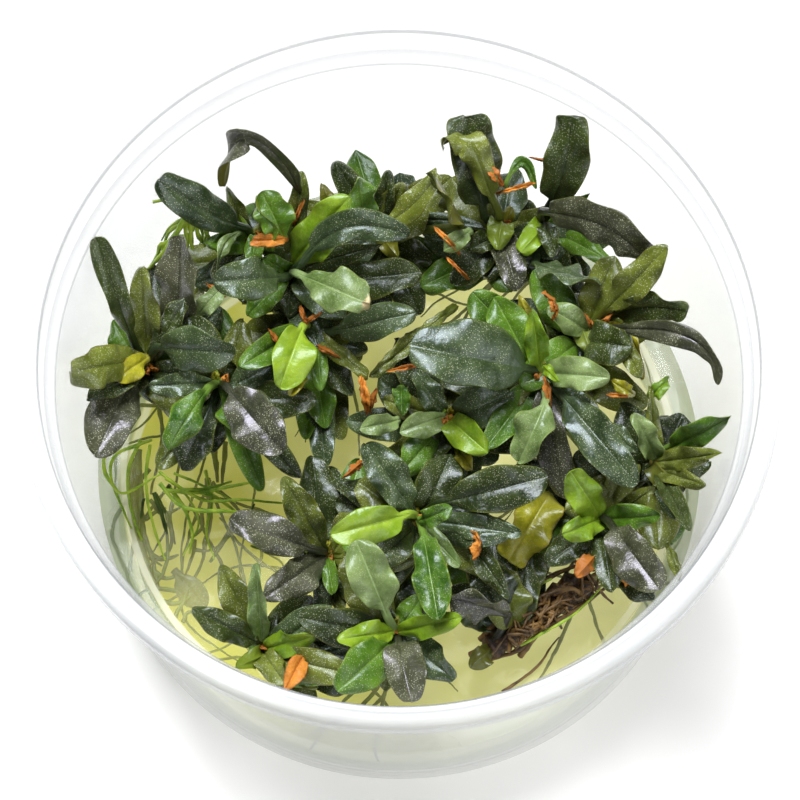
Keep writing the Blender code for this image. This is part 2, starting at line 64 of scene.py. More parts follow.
class Form(Enum):
    """Outline of a leaf: where it is widest, and how full it is."""

    OVAL = (1.0, 0.45)
    LANCE = (0.80, 0.70)
    SPATULA = (1.35, 0.50)
    STRAP = (1.0, 0.34)
    BLUNT = (1.15, 0.24)
    SQUARE = (1.35, 0.15)


class Tint(Enum):
    """Colour family of a leaf, named after what the eye sees in it."""

    DARK = "dark"
    SLATE = "slate"
    MAUVE = "mauve"
    OLIVE = "olive"
    GREEN = "green"
    BRIGHT = "bright"
    YELLOW = "yellow"
    PALE = "pale"
    HUSK = "husk"


OVAL, LANCE, SPATULA, STRAP, BLUNT, SQUARE = Form
DARK, SLATE, MAUVE, OLIVE, GREEN, BRIGHT, YELLOW, PALE, HUSK = Tint


@dataclass(frozen=True)
class PhotoCamera:
    """Camera that took the photograph, and the place in the cup that each of its pixels shows."""

    elevation: float = math.radians(69.36)
    distance: float = 600.0
    aim_height: float = 40.55
    focus: float = 4466.0
    centre_column: float = 399.0
    centre_row: float = 400.0
    frame_pixels: float = 800.0
    sensor: float = 36.0

    @property
    def forward(self) -> Vector:
        """Direction in which the camera looks."""
        return Vector((0.0, math.cos(self.elevation), -math.sin(self.elevation)))

    @property
    def upward(self) -> Vector:
        """Direction of the top of the picture."""
        return Vector((0.0, math.sin(self.elevation), math.cos(self.elevation)))

    @property
    def eye(self) -> Vector:
        """Place of the lens, in millimetres."""
        return Vector((0.0, 0.0, self.aim_height)) - self.forward * self.distance

    def at_pixel(self, column: float, row: float, height: float) -> Vector:
        """Place in the cup that a pixel shows at a height.

        Args:
            column: pixel column of the photograph.
            row: pixel row of the photograph.
            height: millimetres above the underside of the cup.

        Returns:
            The place, in millimetres.
        """
        ray = self.forward * self.focus + self.upward * (self.centre_row - row)
        ray.x = column - self.centre_column
        return self.eye + ray * ((height - self.eye.z) / ray.z)

    def build(self) -> None:
        """Put the camera in the scene."""
        data = bpy.data.cameras.new("photo_camera")
        data.sensor_width = self.sensor
        data.lens = self.focus * self.sensor / self.frame_pixels
        data.shift_x = (0.5 * self.frame_pixels - self.centre_column) / self.frame_pixels
        data.clip_start = 0.01
        data.clip_end = 20.0
        camera = linked("photo_camera", data)
        axes = Matrix((Vector((1.0, 0.0, 0.0)), self.upward, -self.forward)).transposed()
        camera.matrix_world = Matrix.Translation(self.eye * MM) @ axes.to_4x4()
        bpy.context.scene.camera = camera


CAMERA = PhotoCamera()


def places(marks: Sequence[Pixel]) -> list[Vector]:
    """Places in the cup that pixels show at their heights."""
    return [CAMERA.at_pixel(*mark) for mark in marks]


def linked(name: str, data: bpy.types.ID) -> bpy.types.Object:
    """New object in the scene, at the origin, for a mesh, a camera or a lamp."""
    made = bpy.data.objects.new(name, data)
    bpy.context.scene.collection.objects.link(made)
    return made


def mark_points(mesh: bpy.types.Mesh, key: str, values: Sequence[float]) -> None:
    """Give each point of a mesh a value under a name."""
    mesh.attributes.new(key, "FLOAT", "POINT").data.foreach_set("value", np.array(values, np.float32))


def ring_faces(rings: int, around: int, first: int = 0) -> list[tuple[int, ...]]:
    """Faces between rings of points that are numbered one ring after another."""
    faces = []
    for low in range(first, first + (rings - 1) * around, around):
        for side in range(around):
            after = (side + 1) % around
            faces.append((low + side, low + after, low + around + after, low + around + side))
    return faces


def smooth_step(share: float) -> float:
    """Ease from 0 to 1."""
    share = min(1.0, max(0.0, share))
    return share * share * (3.0 - 2.0 * share)


class Wiring:
    """A node tree under construction."""

    def __init__(self, tree: bpy.types.NodeTree) -> None:
        """Keep the tree."""
        self.tree = tree

    def add(self, kind: str, settings: Optional[dict] = None, **sockets: object) -> bpy.types.Node:
        """Add a node.

        Args:
            kind: the node's full type name.
            settings: properties to set on the node.
            **sockets: input sockets by name, with _ for a space, as values or as sockets to link.

        Returns:
            The new node.
        """
        node = self.tree.nodes.new(kind)
        for key, value in (settings or {}).items():
            setattr(node, key, value)
        for key, value in sockets.items():
            self.feed(node, key.replace("_", " "), value)
        return node

    def feed(self, node: bpy.types.Node, key: object, value: object) -> None:
        """Link a socket, or set a value, into one of a node's inputs."""
        socket = node.inputs[key]
        if isinstance(value, bpy.types.NodeSocket):
            self.tree.links.new(value, socket)
        elif isinstance(value, tuple) and len(value) == 3 and socket.type == "RGBA":
            socket.default_value = (*value, 1.0)
        else:
            socket.default_value = value

    def fill(self, node: bpy.types.Node, *values: object) -> bpy.types.NodeSocket:
        """Feed a node's first inputs in order and give its first output."""
        for key, value in enumerate(values):
            self.feed(node, key, value)
        return node.outputs[0]

    def maths(self, operation: str, first: object, second: object = 0.0) -> bpy.types.NodeSocket:
        """Result of a Math node on two values or sockets."""
        return self.fill(self.add("ShaderNodeMath", {"operation": operation}), first, second)

    def times(self, first: object, second: object) -> bpy.types.NodeSocket:
        """Product of two values or sockets."""
        return self.maths("MULTIPLY", first, second)

    def plus(self, first: object, second: object) -> bpy.types.NodeSocket:
        """Sum of two values or sockets."""
        return self.maths("ADD", first, second)


class Sketch(Wiring):
    """A node material under construction."""

    def __init__(self, name: str) -> None:
        """Start an empty material with its Principled shader."""
        self.material = bpy.data.materials.new(name)
        self.material.use_nodes = True
        self.material.cycles.emission_sampling = "NONE"
        super().__init__(self.material.node_tree)
        self.shader = self.tree.nodes["Principled BSDF"]

    def ramp(self, value: object, low: float, high: float, start: float = 0.0,
             end: float = 1.0) -> bpy.types.NodeSocket:
        """Smooth step of a value between two limits, mapped to a start and an end."""
        node = self.add("ShaderNodeMapRange", {"interpolation_type": "SMOOTHSTEP"})
        return self.fill(node, value, low, high, start, end)

    def mix(self, share: object, first: object, second: object) -> bpy.types.NodeSocket:
        """Mix of two colours."""
        node = self.add("ShaderNodeMix", {"data_type": "RGBA"})
        for key, value in ((0, share), (6, first), (7, second)):
            self.feed(node, key, value)
        return node.outputs[2]

    def place(self) -> bpy.types.NodeSocket:
        """The object's own coordinates, which are in metres."""
        return self.add("ShaderNodeTexCoord").outputs["Object"]

    def noise(self, scale: float, detail: float = 3.0, where: object = None,
              roughness: float = 0.5) -> bpy.types.NodeSocket:
        """Noise at a place, by default on the object's own coordinates."""
        node = self.add("ShaderNodeTexNoise", Scale=scale, Detail=detail, Roughness=roughness)
        self.feed(node, "Vector", where or self.place())
        return node.outputs["Fac"]

    def split(self, vector: object) -> list[bpy.types.NodeSocket]:
        """The three parts of a vector or a colour."""
        node = self.add("ShaderNodeSeparateXYZ")
        self.feed(node, 0, vector)
        return list(node.outputs)

    def blade_map(self) -> list[bpy.types.NodeSocket]:
        """Places across and along the piece's own map."""
        return self.split(self.add("ShaderNodeUVMap", {"uv_map": "blade"}).outputs[0])[:2]

    def attribute(self, name: str) -> bpy.types.NodeSocket:
        """Value of a mesh attribute."""
        return self.add("ShaderNodeAttribute", {"attribute_name": name}).outputs["Fac"]

    def bump(self, height: object, depth: float, strength: float = 1.0) -> bpy.types.NodeSocket:
        """Normal of a bump whose height of 1 stands a depth in metres out of the surface."""
        return self.add("ShaderNodeBump", Height=height, Distance=depth, Strength=strength).outputs["Normal"]

    def finish(self, **sockets: object) -> bpy.types.Material:
        """Set or link the shader's inputs and give the material."""
        for key, value in sockets.items():
            self.feed(self.shader, key.replace("_", " "), value)
        return self.material


@dataclass(frozen=True)
class LeafFinish:
    """Skin of a leaf: a mottled green with faint veins, a midrib, a coloured margin and pale specks; on the
    dark and mauve tints the midrib is painted shade of its groove.
    """

    tint: Tint
    base: Colour
    light: Colour
    # rib: midrib, vein and stalk colour; on DARK and MAUVE it is darker than the blade, painted shade of the
    # midrib's groove
    rib: Colour
    under: Colour
    edge: Colour
    speck: Colour = (0.62, 0.64, 0.46)
    dead: Colour = (0.62, 0.50, 0.28)
    speck_share: float = 0.35
    roughness: float = 0.34
    gloss: float = 0.48
    coat: float = 0.10
    sheen: Colour = (0.84, 0.90, 1.0)
    cloud_scale: float = 330.0
    grain_scale: float = 2600.0
    speck_scale: float = 4800.0
    veins: float = 52.0
    wrinkle: float = 0.00022

    def specks(self, sketch: Sketch, clouds: bpy.types.NodeSocket,
               along: bpy.types.NodeSocket) -> bpy.types.NodeSocket:
        """Share of the speck's colour: dots that crowd in patches, mostly towards the tip."""
        cells = sketch.add("ShaderNodeTexVoronoi", Scale=self.speck_scale, Randomness=1.0)
        sketch.feed(cells, "Vector", sketch.place())
        dots = sketch.ramp(cells.outputs["Distance"], 0.14, 0.40, 1.0, 0.0)
        chance = sketch.split(cells.outputs["Color"])[0]
        crowd = sketch.ramp(sketch.plus(clouds, sketch.times(along, 0.22)), 0.44, 0.68, 0.18, 1.0)
        dots = sketch.times(sketch.times(dots, crowd), sketch.ramp(chance, 0.0, 0.75))
        return sketch.times(dots, self.speck_share)

    def material(self) -> bpy.types.Material:
        """Node material that reads the leaf's own map, its tone and its upper or under side."""
        sketch = Sketch("leaf_" + self.tint.value)
        across, along = sketch.blade_map()
        off_rib = sketch.times(sketch.maths("ABSOLUTE", sketch.maths("SUBTRACT", across, 0.5)), 2.0)
        tone = sketch.attribute("tone")
        clouds = sketch.noise(self.cloud_scale, 3.0)
        fine = sketch.noise(self.grain_scale, 2.0, roughness=0.7)
        slant = sketch.maths("SUBTRACT", along, sketch.times(off_rib, 0.22))
        veins = sketch.maths("SINE", sketch.plus(sketch.times(slant, self.veins), sketch.times(clouds, 7.0)))
        blotch = sketch.plus(sketch.ramp(clouds, 0.32, 0.72, 0.0, 0.60), sketch.times(tone, 0.45))
        colour = sketch.mix(blotch, self.base, self.light)
        colour = sketch.mix(sketch.times(sketch.ramp(veins, 0.55, 1.0), 0.08), colour, self.rib)
        colour = sketch.mix(sketch.ramp(off_rib, 0.84, 1.0, 0.0, 0.8), colour, self.edge)
        # Midrib line in the rib colour: the paler midrib itself on the green tints, painted shade of its
        # groove on the dark and mauve tints.
        colour = sketch.mix(sketch.ramp(off_rib, 0.01, 0.06, 0.55, 0.0), colour, self.rib)
        colour = sketch.mix(sketch.ramp(fine, 0.42, 0.7, 0.0, 0.30), colour, self.light)
        colour = sketch.mix(self.specks(sketch, clouds, along), colour, self.speck)
        colour = sketch.mix(sketch.attribute("under"), colour, self.under)
        colour = sketch.mix(sketch.ramp(along, 0.05, 0.24, 0.75, 0.0), colour, self.rib)
        colour = sketch.mix(sketch.attribute("scar"), colour, self.dead)
        where = sketch.fill(sketch.add("ShaderNodeCombineXYZ"), sketch.times(off_rib, 1.6),
                            sketch.times(along, 9.0), sketch.times(tone, 31.0))
        rough = sketch.ramp(clouds, 0.3, 0.7, self.roughness - 0.06, self.roughness + 0.10)
        return sketch.finish(
            Base_Color=colour, Roughness=rough,
            Normal=sketch.bump(sketch.noise(1.4, 2.0, where), self.wrinkle, 0.8),
            IOR=1.47, Specular_IOR_Level=self.gloss, Specular_Tint=self.sheen,
            Coat_Weight=self.coat, Coat_Roughness=0.2,
        )


# Each finish gives base, light, rib, under and edge colours; the darker rib of DARK and MAUVE is painted
# groove shade.
FINISHES = (
    LeafFinish(DARK, (0.006, 0.012, 0.002), (0.042, 0.062, 0.007), (0.010, 0.020, 0.003),
               (0.080, 0.085, 0.010), (0.090, 0.110, 0.012), speck_share=0.55),
    LeafFinish(SLATE, (0.010, 0.022, 0.006), (0.064, 0.098, 0.029), (0.036, 0.060, 0.020),
               (0.100, 0.110, 0.014), (0.060, 0.090, 0.012), speck_share=0.70, gloss=0.65,
               sheen=(0.78, 0.88, 1.0)),
    LeafFinish(MAUVE, (0.014, 0.018, 0.006), (0.090, 0.094, 0.048), (0.010, 0.013, 0.005),
               (0.105, 0.100, 0.014), (0.055, 0.065, 0.014), speck_share=0.85, gloss=0.75,
               sheen=(0.86, 0.80, 1.0)),
    LeafFinish(OLIVE, (0.030, 0.044, 0.003), (0.160, 0.190, 0.020), (0.060, 0.075, 0.008),
               (0.120, 0.120, 0.010), (0.110, 0.110, 0.008), speck_share=0.70),
    LeafFinish(GREEN, (0.014, 0.056, 0.002), (0.105, 0.215, 0.010), (0.16, 0.27, 0.04),
               (0.120, 0.165, 0.012), (0.130, 0.210, 0.012), speck_share=0.45),
    LeafFinish(BRIGHT, (0.070, 0.160, 0.003), (0.250, 0.370, 0.016), (0.30, 0.44, 0.05),
               (0.180, 0.290, 0.012), (0.180, 0.300, 0.008), speck_share=0.20),
    LeafFinish(YELLOW, (0.180, 0.180, 0.006), (0.430, 0.400, 0.020), (0.36, 0.34, 0.05),
               (0.260, 0.240, 0.020), (0.180, 0.120, 0.008), speck_share=0.25),
    LeafFinish(PALE, (0.070, 0.120, 0.024), (0.230, 0.310, 0.110), (0.26, 0.36, 0.14),
               (0.150, 0.190, 0.030), (0.190, 0.260, 0.060), speck_share=0.45),
    LeafFinish(HUSK, (0.240, 0.062, 0.006), (0.780, 0.300, 0.030), (0.36, 0.11, 0.010),
               (0.360, 0.120, 0.012), (0.140, 0.045, 0.008), speck_share=0.2, coat=0.0, roughness=0.6),
)
TINTS = [finish.tint for finish in FINISHES]


class Draft:
    """A mesh under construction, in millimetres, with a map and named values for every point."""

    def __init__(self) -> None:
        """Start with nothing."""
        self.points: list[np.ndarray] = []
        self.faces: list[tuple[int, ...]] = []
        self.slots: list[int] = []
        self.maps: list[np.ndarray] = []
        self.values: dict[str, list[np.ndarray]] = {"tone": [], "under": [], "scar": []}
        self.count = 0

    def add_tube(self, rings: np.ndarray, slot: int, maps: np.ndarray, tone: float,
                 under: object = 0.0, scar: object = 0.0) -> None:
        """Add a closed tube made of rings of points.

        Args:
            rings: array of stations by points round by 3, with each ring turning left about the
                tube's direction.
            slot: material slot of its faces.
            maps: array of stations by points round by 2.
            tone: value from 0 to 1 that shifts its colour.
            under: one value, or one by station and point, 1 on an under side.
            scar: one value, or one by station and point, 1 where the skin is dead.
        """
        stations, around = rings.shape[:2]
        first = self.count
        self.points.append(rings.reshape(-1, 3))
        self.maps.append(maps.reshape(-1, 2))
        for key, value in (("tone", tone), ("under", under), ("scar", scar)):
            self.values[key].append(np.broadcast_to(value, (stations, around)).reshape(-1))
        self.count += stations * around
        self.faces += ring_faces(stations, around, first)
        self.faces.append(tuple(reversed(range(first, first + around))))
        self.faces.append(tuple(range(self.count - around, self.count)))
        self.slots += [slot] * (self.count - first - around + 2)

    def build(self, name: str, materials: Sequence[bpy.types.Material]) -> bpy.types.Object:
        """Make the object.

        Args:
            name: the piece's name.
            materials: one for each slot.

        Returns:
            The object, at the origin, with its place in its mesh.
        """
        mesh = bpy.data.meshes.new(name)
        mesh.from_pydata((np.concatenate(self.points) * MM).tolist(), [], self.faces)
        used = sorted(set(self.slots))
        mesh.polygons.foreach_set("material_index", [used.index(slot) for slot in self.slots])
        mesh.polygons.foreach_set("use_smooth", [True] * len(self.faces))
        corners = np.zeros(len(mesh.loops), np.int32)
        mesh.loops.foreach_get("vertex_index", corners)
        layer = mesh.uv_layers.new(name="blade")
        layer.data.foreach_set("uv", np.concatenate(self.maps)[corners].reshape(-1))
        for key, values in self.values.items():
            mark_points(mesh, key, np.concatenate(values))
        for slot in used:
            mesh.materials.append(materials[slot])
        mesh.update()
        return linked(name, mesh)


def hand_in(piece: bpy.types.Object, slot: str, *nodes: str) -> None:
    """Let a finished piece ride on the cup's body and stand for its nodes.

    Args:
        piece: the finished object.
        slot: the record's material slot; not used.
        *nodes: the frame's nodes that it stands for.
    """
    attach(piece, BODY)
    if nodes:
        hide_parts(*nodes)
    LOG.info("%s: %d faces", piece.name, len(piece.data.polygons))


STALK_WIDTH = 1.2
STALK_SHARE = 0.14
LEAF_THICKNESS = 0.34
LEAF_STATIONS = 34
BROAD = (-1.0, -0.965, -0.87, -0.72, -0.53, -0.33, -0.16, -0.06, 0.0, 0.06, 0.16, 0.33, 0.53, 0.72,
         0.87, 0.965, 1.0)
COARSE = (-1.0, -0.5, 0.0, 0.5, 1.0)
MARGIN_ROLL = 0.10
LIFT_STEP = 0.5
SETTLED_STEPS = 12
CLEAR_STEPS = 8
MATCHED_GAP = 0.1
WALL_ROOM = 0.7
GEL_ROOM = 0.2
UNDER_LEAVES = 13
MOST_CROSSED = 1
FIRST_SCAR = 0.6
SCAR_STEP = 0.6


@dataclass(frozen=True)
class Leaf:
    """One leaf. Foot and tip are a pixel of the photograph and a height above the cup's underside.

    A leaf with no foot of its own springs from its plantlet's stem. Arch, hook and sway bend the
    midrib, in millimetres, and a path gives the places that it passes. Fold and twist turn the
    blade, in degrees. A fold above 0 lifts the two sides towards the eye. A tone below 0 is left
    to chance.
    """

    foot: Optional[Pixel]
    tip: Optional[Pixel]
    width: float
    tint: Tint = GREEN
    form: Form = OVAL
    arch: float = 1.5
    hook: float = 0.0
    sway: float = 0.0
    fold: float = 14.0
    twist: float = 0.0
    wave: float = 0.75
    torn: float = 0.0
    tone: float = -1.0
    crumple: float = 0.0
    stalk: float = STALK_SHARE
    path: tuple[Pixel, ...] = ()

    def knots(self, start: Vector, end: Optional[Vector] = None) -> np.ndarray:
        """Control points of the midrib's cubic curve.

        Args:
            start: where the leaf springs from, in millimetres.
            end: where its tip is; by default the place that the tip's pixel shows.

        Returns:
            Array of 4 points, or with a path, of all the places that the midrib passes.
        """
        end = end or CAMERA.at_pixel(*self.tip)
        if self.path:
            return np.array([start, *places(self.path), end])
        chord = end - start
        across = (-CAMERA.forward).cross(chord).normalized()
        above = chord.cross(across).normalized()
        near_pull = above * (self.arch - self.hook) + across * self.sway
        far_pull = above * (self.arch + self.hook) + across * self.sway
        first = start + chord / 3.0 + near_pull * (4.0 / 3.0)
        second = start + chord / 1.5 + far_pull * (4.0 / 3.0)
        return np.array([start, first, second, end])

    def half_width(self, share: float) -> float:
        """Half the width at a share of the length: a stalk that opens into the blade."""
        along = (share - self.stalk) / (1.0 - self.stalk)
        blade = 0.0
        if 0.0 < along < 1.0:
            full, power = self.form.value
            blade = 0.53 * self.width * math.sin(math.pi * along ** full) ** power
        stalk = 0.5 * min(STALK_WIDTH, 0.5 * self.width) * (1.0 - smooth_step(share / 0.9))
        return max(blade, stalk, 0.05)


def small(column: float, row: float, height: float, width: float, tint: Tint, form: Form = OVAL,
          **bends: float) -> Leaf:
    """Leaf that springs from its plantlet's stem, by the pixel and the height of its tip."""
    return Leaf(None, (column, row, height), width, tint, form, **bends)


def husk(foot: Pixel, tip: Pixel, width: float, form: Form = STRAP, fold: float = 45.0,
         crumple: float = 0.16, **bends: float) -> Leaf:
    """Dead sheath or stalk: a narrow crumpled leaf."""
    return Leaf(foot, tip, width, HUSK, form, fold=fold, crumple=crumple, **bends)


def spline_at(knots: np.ndarray, positions: np.ndarray) -> np.ndarray:
    """Places on a smooth curve through marks, with the first mark at position 0."""
    ends = np.concatenate([[2.0 * knots[0] - knots[1]], knots, [2.0 * knots[-1] - knots[-2]]])
    spans = np.minimum(positions.astype(int), len(knots) - 2)
    share = (positions - spans)[:, None]
    before, start, end, after = (ends[spans + step] for step in range(4))
    curve = 2.0 * start + (end - before) * share
    curve = curve + (2.0 * before - 5.0 * start + 4.0 * end - after) * share ** 2
    curve = curve + (3.0 * start - before - 3.0 * end + after) * share ** 3
    return 0.5 * curve


def spline(marks: Sequence[Vector], count: int) -> np.ndarray:
    """A number of places, evenly spread from mark to mark, on a smooth curve through marks."""
    knots = np.array([list(mark) for mark in marks])
    return spline_at(knots, np.linspace(0.0, len(knots) - 1.0, count))


def curve_places(knots: np.ndarray, shares: np.ndarray, lift: float) -> np.ndarray:
    """Places on a cubic curve that is lifted towards the eye.

    Args:
        knots: 4 control points, or more places to pass.
        shares: shares of its length.
        lift: millimetres by which all but the foot is moved towards the eye.

    Returns:
        One place for each share.
    """
    rise = np.clip(shares / 0.4, 0.0, 1.0)
    rise = lift * rise * rise * (3.0 - 2.0 * rise)
    raised = rise[:, None] * np.array(-CAMERA.forward)
    if len(knots) > 4:
        return spline_at(knots, shares * (len(knots) - 1.0)) + raised
    rest = 1.0 - shares
    weights = np.stack([rest ** 3, 3.0 * rest ** 2 * shares, 3.0 * rest * shares ** 2, shares ** 3], -1)
    return weights @ knots + raised


def unit(rows: np.ndarray) -> np.ndarray:
    """Rows scaled to length 1."""
    return rows / np.maximum(np.linalg.norm(rows, axis=-1, keepdims=True), 1e-9)


def tube_map(around: np.ndarray, along: np.ndarray) -> np.ndarray:
    """Map of a tube from its places round and its places along."""
    return np.stack(np.broadcast_arrays(around[None, :], along[:, None]), -1)


@dataclass
class Blade:
    """Skin of one leaf as rings of points, ready to be added to a draft."""

    rings: np.ndarray
    maps: np.ndarray
    under: np.ndarray
    scar: np.ndarray

    @staticmethod
    def facings(along: np.ndarray, foot: int) -> np.ndarray:
        """Direction in which the blade faces at each station.

        Args:
            along: direction of the midrib at each station.
            foot: the station from which the facing is carried both ways.

        Returns:
            Array of directions, turned as little as the midrib allows.
        """
        facing = np.array(-CAMERA.forward)
        found = np.zeros_like(along)
        for rows in (range(foot, len(along)), range(foot - 1, -1, -1)):
            for row in rows:
                facing = unit(facing - along[row] * facing.dot(along[row]))
                found[row] = facing
            facing = found[foot]
        return found

    @staticmethod
    def grow(leaf: Leaf, knots: np.ndarray, lift: float, seed: str, lead: Optional[np.ndarray] = None,
             stations: int = LEAF_STATIONS, spread: Sequence[float] = BROAD,
             first_share: float = 0.0) -> "Blade":
        """Shape a leaf about its midrib.

        Args:
            leaf: its measures.
            knots: control points of its midrib.
            lift: how far it is moved towards the eye.
            seed: name that fixes its chance irregularities.
            lead: places from the stem to its foot, before the foot.
            stations: number of cross sections.
            spread: places across the blade, from -1 to 1.
            first_share: share of the length at which it starts.

        Returns:
            The skin.
        """
        dice = random.Random(seed)
        steps = np.linspace(0.0, 1.0, stations)
        shares = first_share + (1.0 - first_share) * (1.0 - (1.0 - steps) ** 1.55)
        centres = curve_places(knots, shares, lift)
        foot = 0 if lead is None else len(lead)
        if foot:
            centres = np.concatenate([lead, centres])
            shares = np.concatenate([np.zeros(foot), shares])
        along = unit(np.gradient(centres, axis=0))
        turn = dice.uniform(-10.0, 10.0)
        twist = leaf.twist + dice.uniform(-14.0, 14.0)
        phases = [dice.uniform(0.0, FULL_TURN) for _ in range(4)]
        waves = dice.uniform(1.5, 3.2)
        lopsided = dice.uniform(-0.10, 0.10)
        notch = [dice.uniform(0.0, FULL_TURN) for _ in range(2)]
        sides = np.array(list(spread) + list(spread[-2:0:-1]))
        lower = np.zeros(len(sides))
        lower[len(spread):] = 1.0
        inner = np.abs(sides)
        phase = np.where(sides > 0.0, phases[0], phases[1])
        rings = np.zeros((len(shares), len(sides), 3))
        scar = np.zeros((len(shares), len(sides)))
        for row, (share, facing) in enumerate(zip(shares, Blade.facings(along, foot))):
            angle = math.radians(turn * smooth_step(share / 0.5) + twist * smooth_step((share - 0.5) / 0.35))
            normal = facing * math.cos(angle) + np.cross(along[row], facing) * math.sin(angle)
            across = np.cross(along[row], normal)
            opened = smooth_step(share / 0.3)
            uneven = 0.075 * np.sin(6.2 * share + phase) + 0.035 * np.sin(15.0 * share + 2.0 * phase)
            uneven = uneven + lopsided * np.sign(sides)
            reach = leaf.half_width(share) * (1.0 + opened * uneven)
            fold = math.radians(leaf.fold) * opened * (1.0 + 0.35 * math.sin(4.4 * share + notch[0]))
            ripple = np.sin(FULL_TURN * waves * share + phase) * inner ** 2.2
            height = reach * math.sin(fold) * inner ** 1.2
            height = height - opened * MARGIN_ROLL * reach * inner ** 2.6
            height = height + opened * 0.12 * reach * inner * (1.0 - inner)
            height = height + opened * leaf.wave * min(1.0, leaf.width / 4.0) * ripple
            height = height + opened * 0.5 * leaf.wave * math.sin(7.0 * share + phases[2]) * sides
            swell = 1.0 + 1.7 * (1.0 - smooth_step(share / (2.2 * STALK_SHARE)))
            thick = LEAF_THICKNESS * swell * np.sqrt(np.maximum(0.0, 1.0 - inner ** 2.4)) * 0.5
            groove = np.exp(-((sides / 0.10) ** 2)) * opened * (1.0 - smooth_step((share - 0.8) / 0.2))
            height = height + np.where(lower > 0.5, -thick - 0.24 * groove, thick - 0.22 * groove)
            if leaf.crumple > 0.0:
                crease = np.sin(23.0 * share + 2.0 * sides + phases[1]) + np.sin(
                    41.0 * share - 3.0 * sides + phases[3]) * np.cos(5.0 * sides + phases[0])
                height = height + leaf.crumple * crease
                ragged = min(0.22, 1.4 * leaf.crumple) * np.sin(19.0 * share + phase)
                reach = reach * (1.0 + ragged * np.sin(33.0 * share + phases[2]))
            cut = smooth_step((share - 1.0 + leaf.torn) / leaf.torn) if leaf.torn > 0.0 else 0.0
            jag = 0.5 + 0.5 * np.sin(9.0 * sides + notch[1])
            height = height + cut * 0.5 * np.sin(7.0 * sides + phases[2])
            scar[row] = np.clip(cut * (0.7 + jag), 0.0, 1.0)
            out = reach * math.cos(fold) * sides
            rings[row] = centres[row] + out[:, None] * across + height[:, None] * normal
            rings[row] -= (cut * 0.9 * jag)[:, None] * along[row]
        under = np.broadcast_to(lower, (len(shares), len(sides)))
        return Blade(rings, tube_map(0.5 + 0.5 * sides, shares), under, scar)


def tube_rings(route: np.ndarray, radii: np.ndarray, around: int) -> tuple[np.ndarray, np.ndarray]:
    """Rings of a tube about a route, with its map.

    Args:
        route: places along its middle.
        radii: array of stations by points round.
        around: points in a ring.

    Returns:
        The rings and the map.
    """
    along = unit(np.gradient(route, axis=0))
    side = np.cross(along[0], (1.0, 0.0, 0.0))
    if np.linalg.norm(side) < 0.1:
        side = np.cross(along[0], (0.0, 1.0, 0.0))
    turns = FULL_TURN * np.arange(around) / around
    rings = np.zeros((len(route), around, 3))
    for row, (middle, reach) in enumerate(zip(route, radii)):
        side = side - along[row] * side.dot(along[row])
        side = side / np.linalg.norm(side)
        other = np.cross(along[row], side)
        rings[row] = middle + (reach * np.cos(turns))[:, None] * side + (
            reach * np.sin(turns))[:, None] * other
    return rings, tube_map(turns / FULL_TURN, np.linspace(0.0, 1.0, len(route)))


@dataclass(frozen=True)
class StemFinish:
    """Skin of a stem: a ringed, faintly striped bark."""

    name: str
    base: Colour
    light: Colour
    ring: Colour
    roughness: float = 0.45
    rings: float = 42.0
    depth: float = 0.00012

    def material(self) -> bpy.types.Material:
        """Node material that reads the stem's map and its object coordinates."""
        sketch = Sketch(self.name)
        along = sketch.blade_map()[1]
        clouds = sketch.noise(900.0, 4.0)
        fine = sketch.noise(4200.0, 3.0)
        rings = sketch.maths("SINE", sketch.plus(sketch.times(along, self.rings), sketch.times(clouds, 5.0)))
        colour = sketch.mix(sketch.ramp(clouds, 0.35, 0.65), self.base, self.light)
        colour = sketch.mix(sketch.ramp(rings, 0.5, 1.0, 0.0, 0.7), colour, self.ring)
        colour = sketch.mix(sketch.ramp(fine, 0.4, 0.7, 0.0, 0.4), colour, self.light)
        height = sketch.plus(fine, sketch.times(rings, -0.5))
        return sketch.finish(Base_Color=colour, Roughness=self.roughness,
                             Normal=sketch.bump(height, self.depth))


GREEN_STEM = StemFinish("stem_bark", (0.20, 0.16, 0.025), (0.36, 0.32, 0.06), (0.16, 0.06, 0.012))
WOOD_STEM = StemFinish("stem_wood", (0.014, 0.006, 0.002), (0.075, 0.030, 0.009), (0.006, 0.003, 0.002))


@dataclass(frozen=True)
class Shoot:
    """One plantlet: its stem from crown to gel and its leaves.

    Each broad leaf is a node of the frame, and the young leaves belong to the stem's node. The fine
    ones are too many for the frame's solids. Shade is the range of directions, in degrees from the
    right, that its shaded leaves keep to. An old one is the knotty rhizome, which has no crown.
    """

    name: str
    stem: tuple[Pixel, ...]
    girth: float
    leaves: tuple[Leaf, ...] = ()
    young: tuple[Leaf, ...] = ()
    fine: tuple[Leaf, ...] = ()
    wooden: bool = False
    old: bool = False
    shade: tuple[float, float] = (0.0, 360.0)

    def route(self, count: int) -> np.ndarray:
        """A number of places along the stem, from its crown down."""
        return spline(places(self.stem), count)

    def sprout(self, index: float) -> Vector:
        """Place on the stem from which a small leaf springs, counted down from the crown."""
        crown, below = self.route(6)[:2]
        return Vector(crown + unit(below - crown) * (FIRST_SCAR + SCAR_STEP * index))


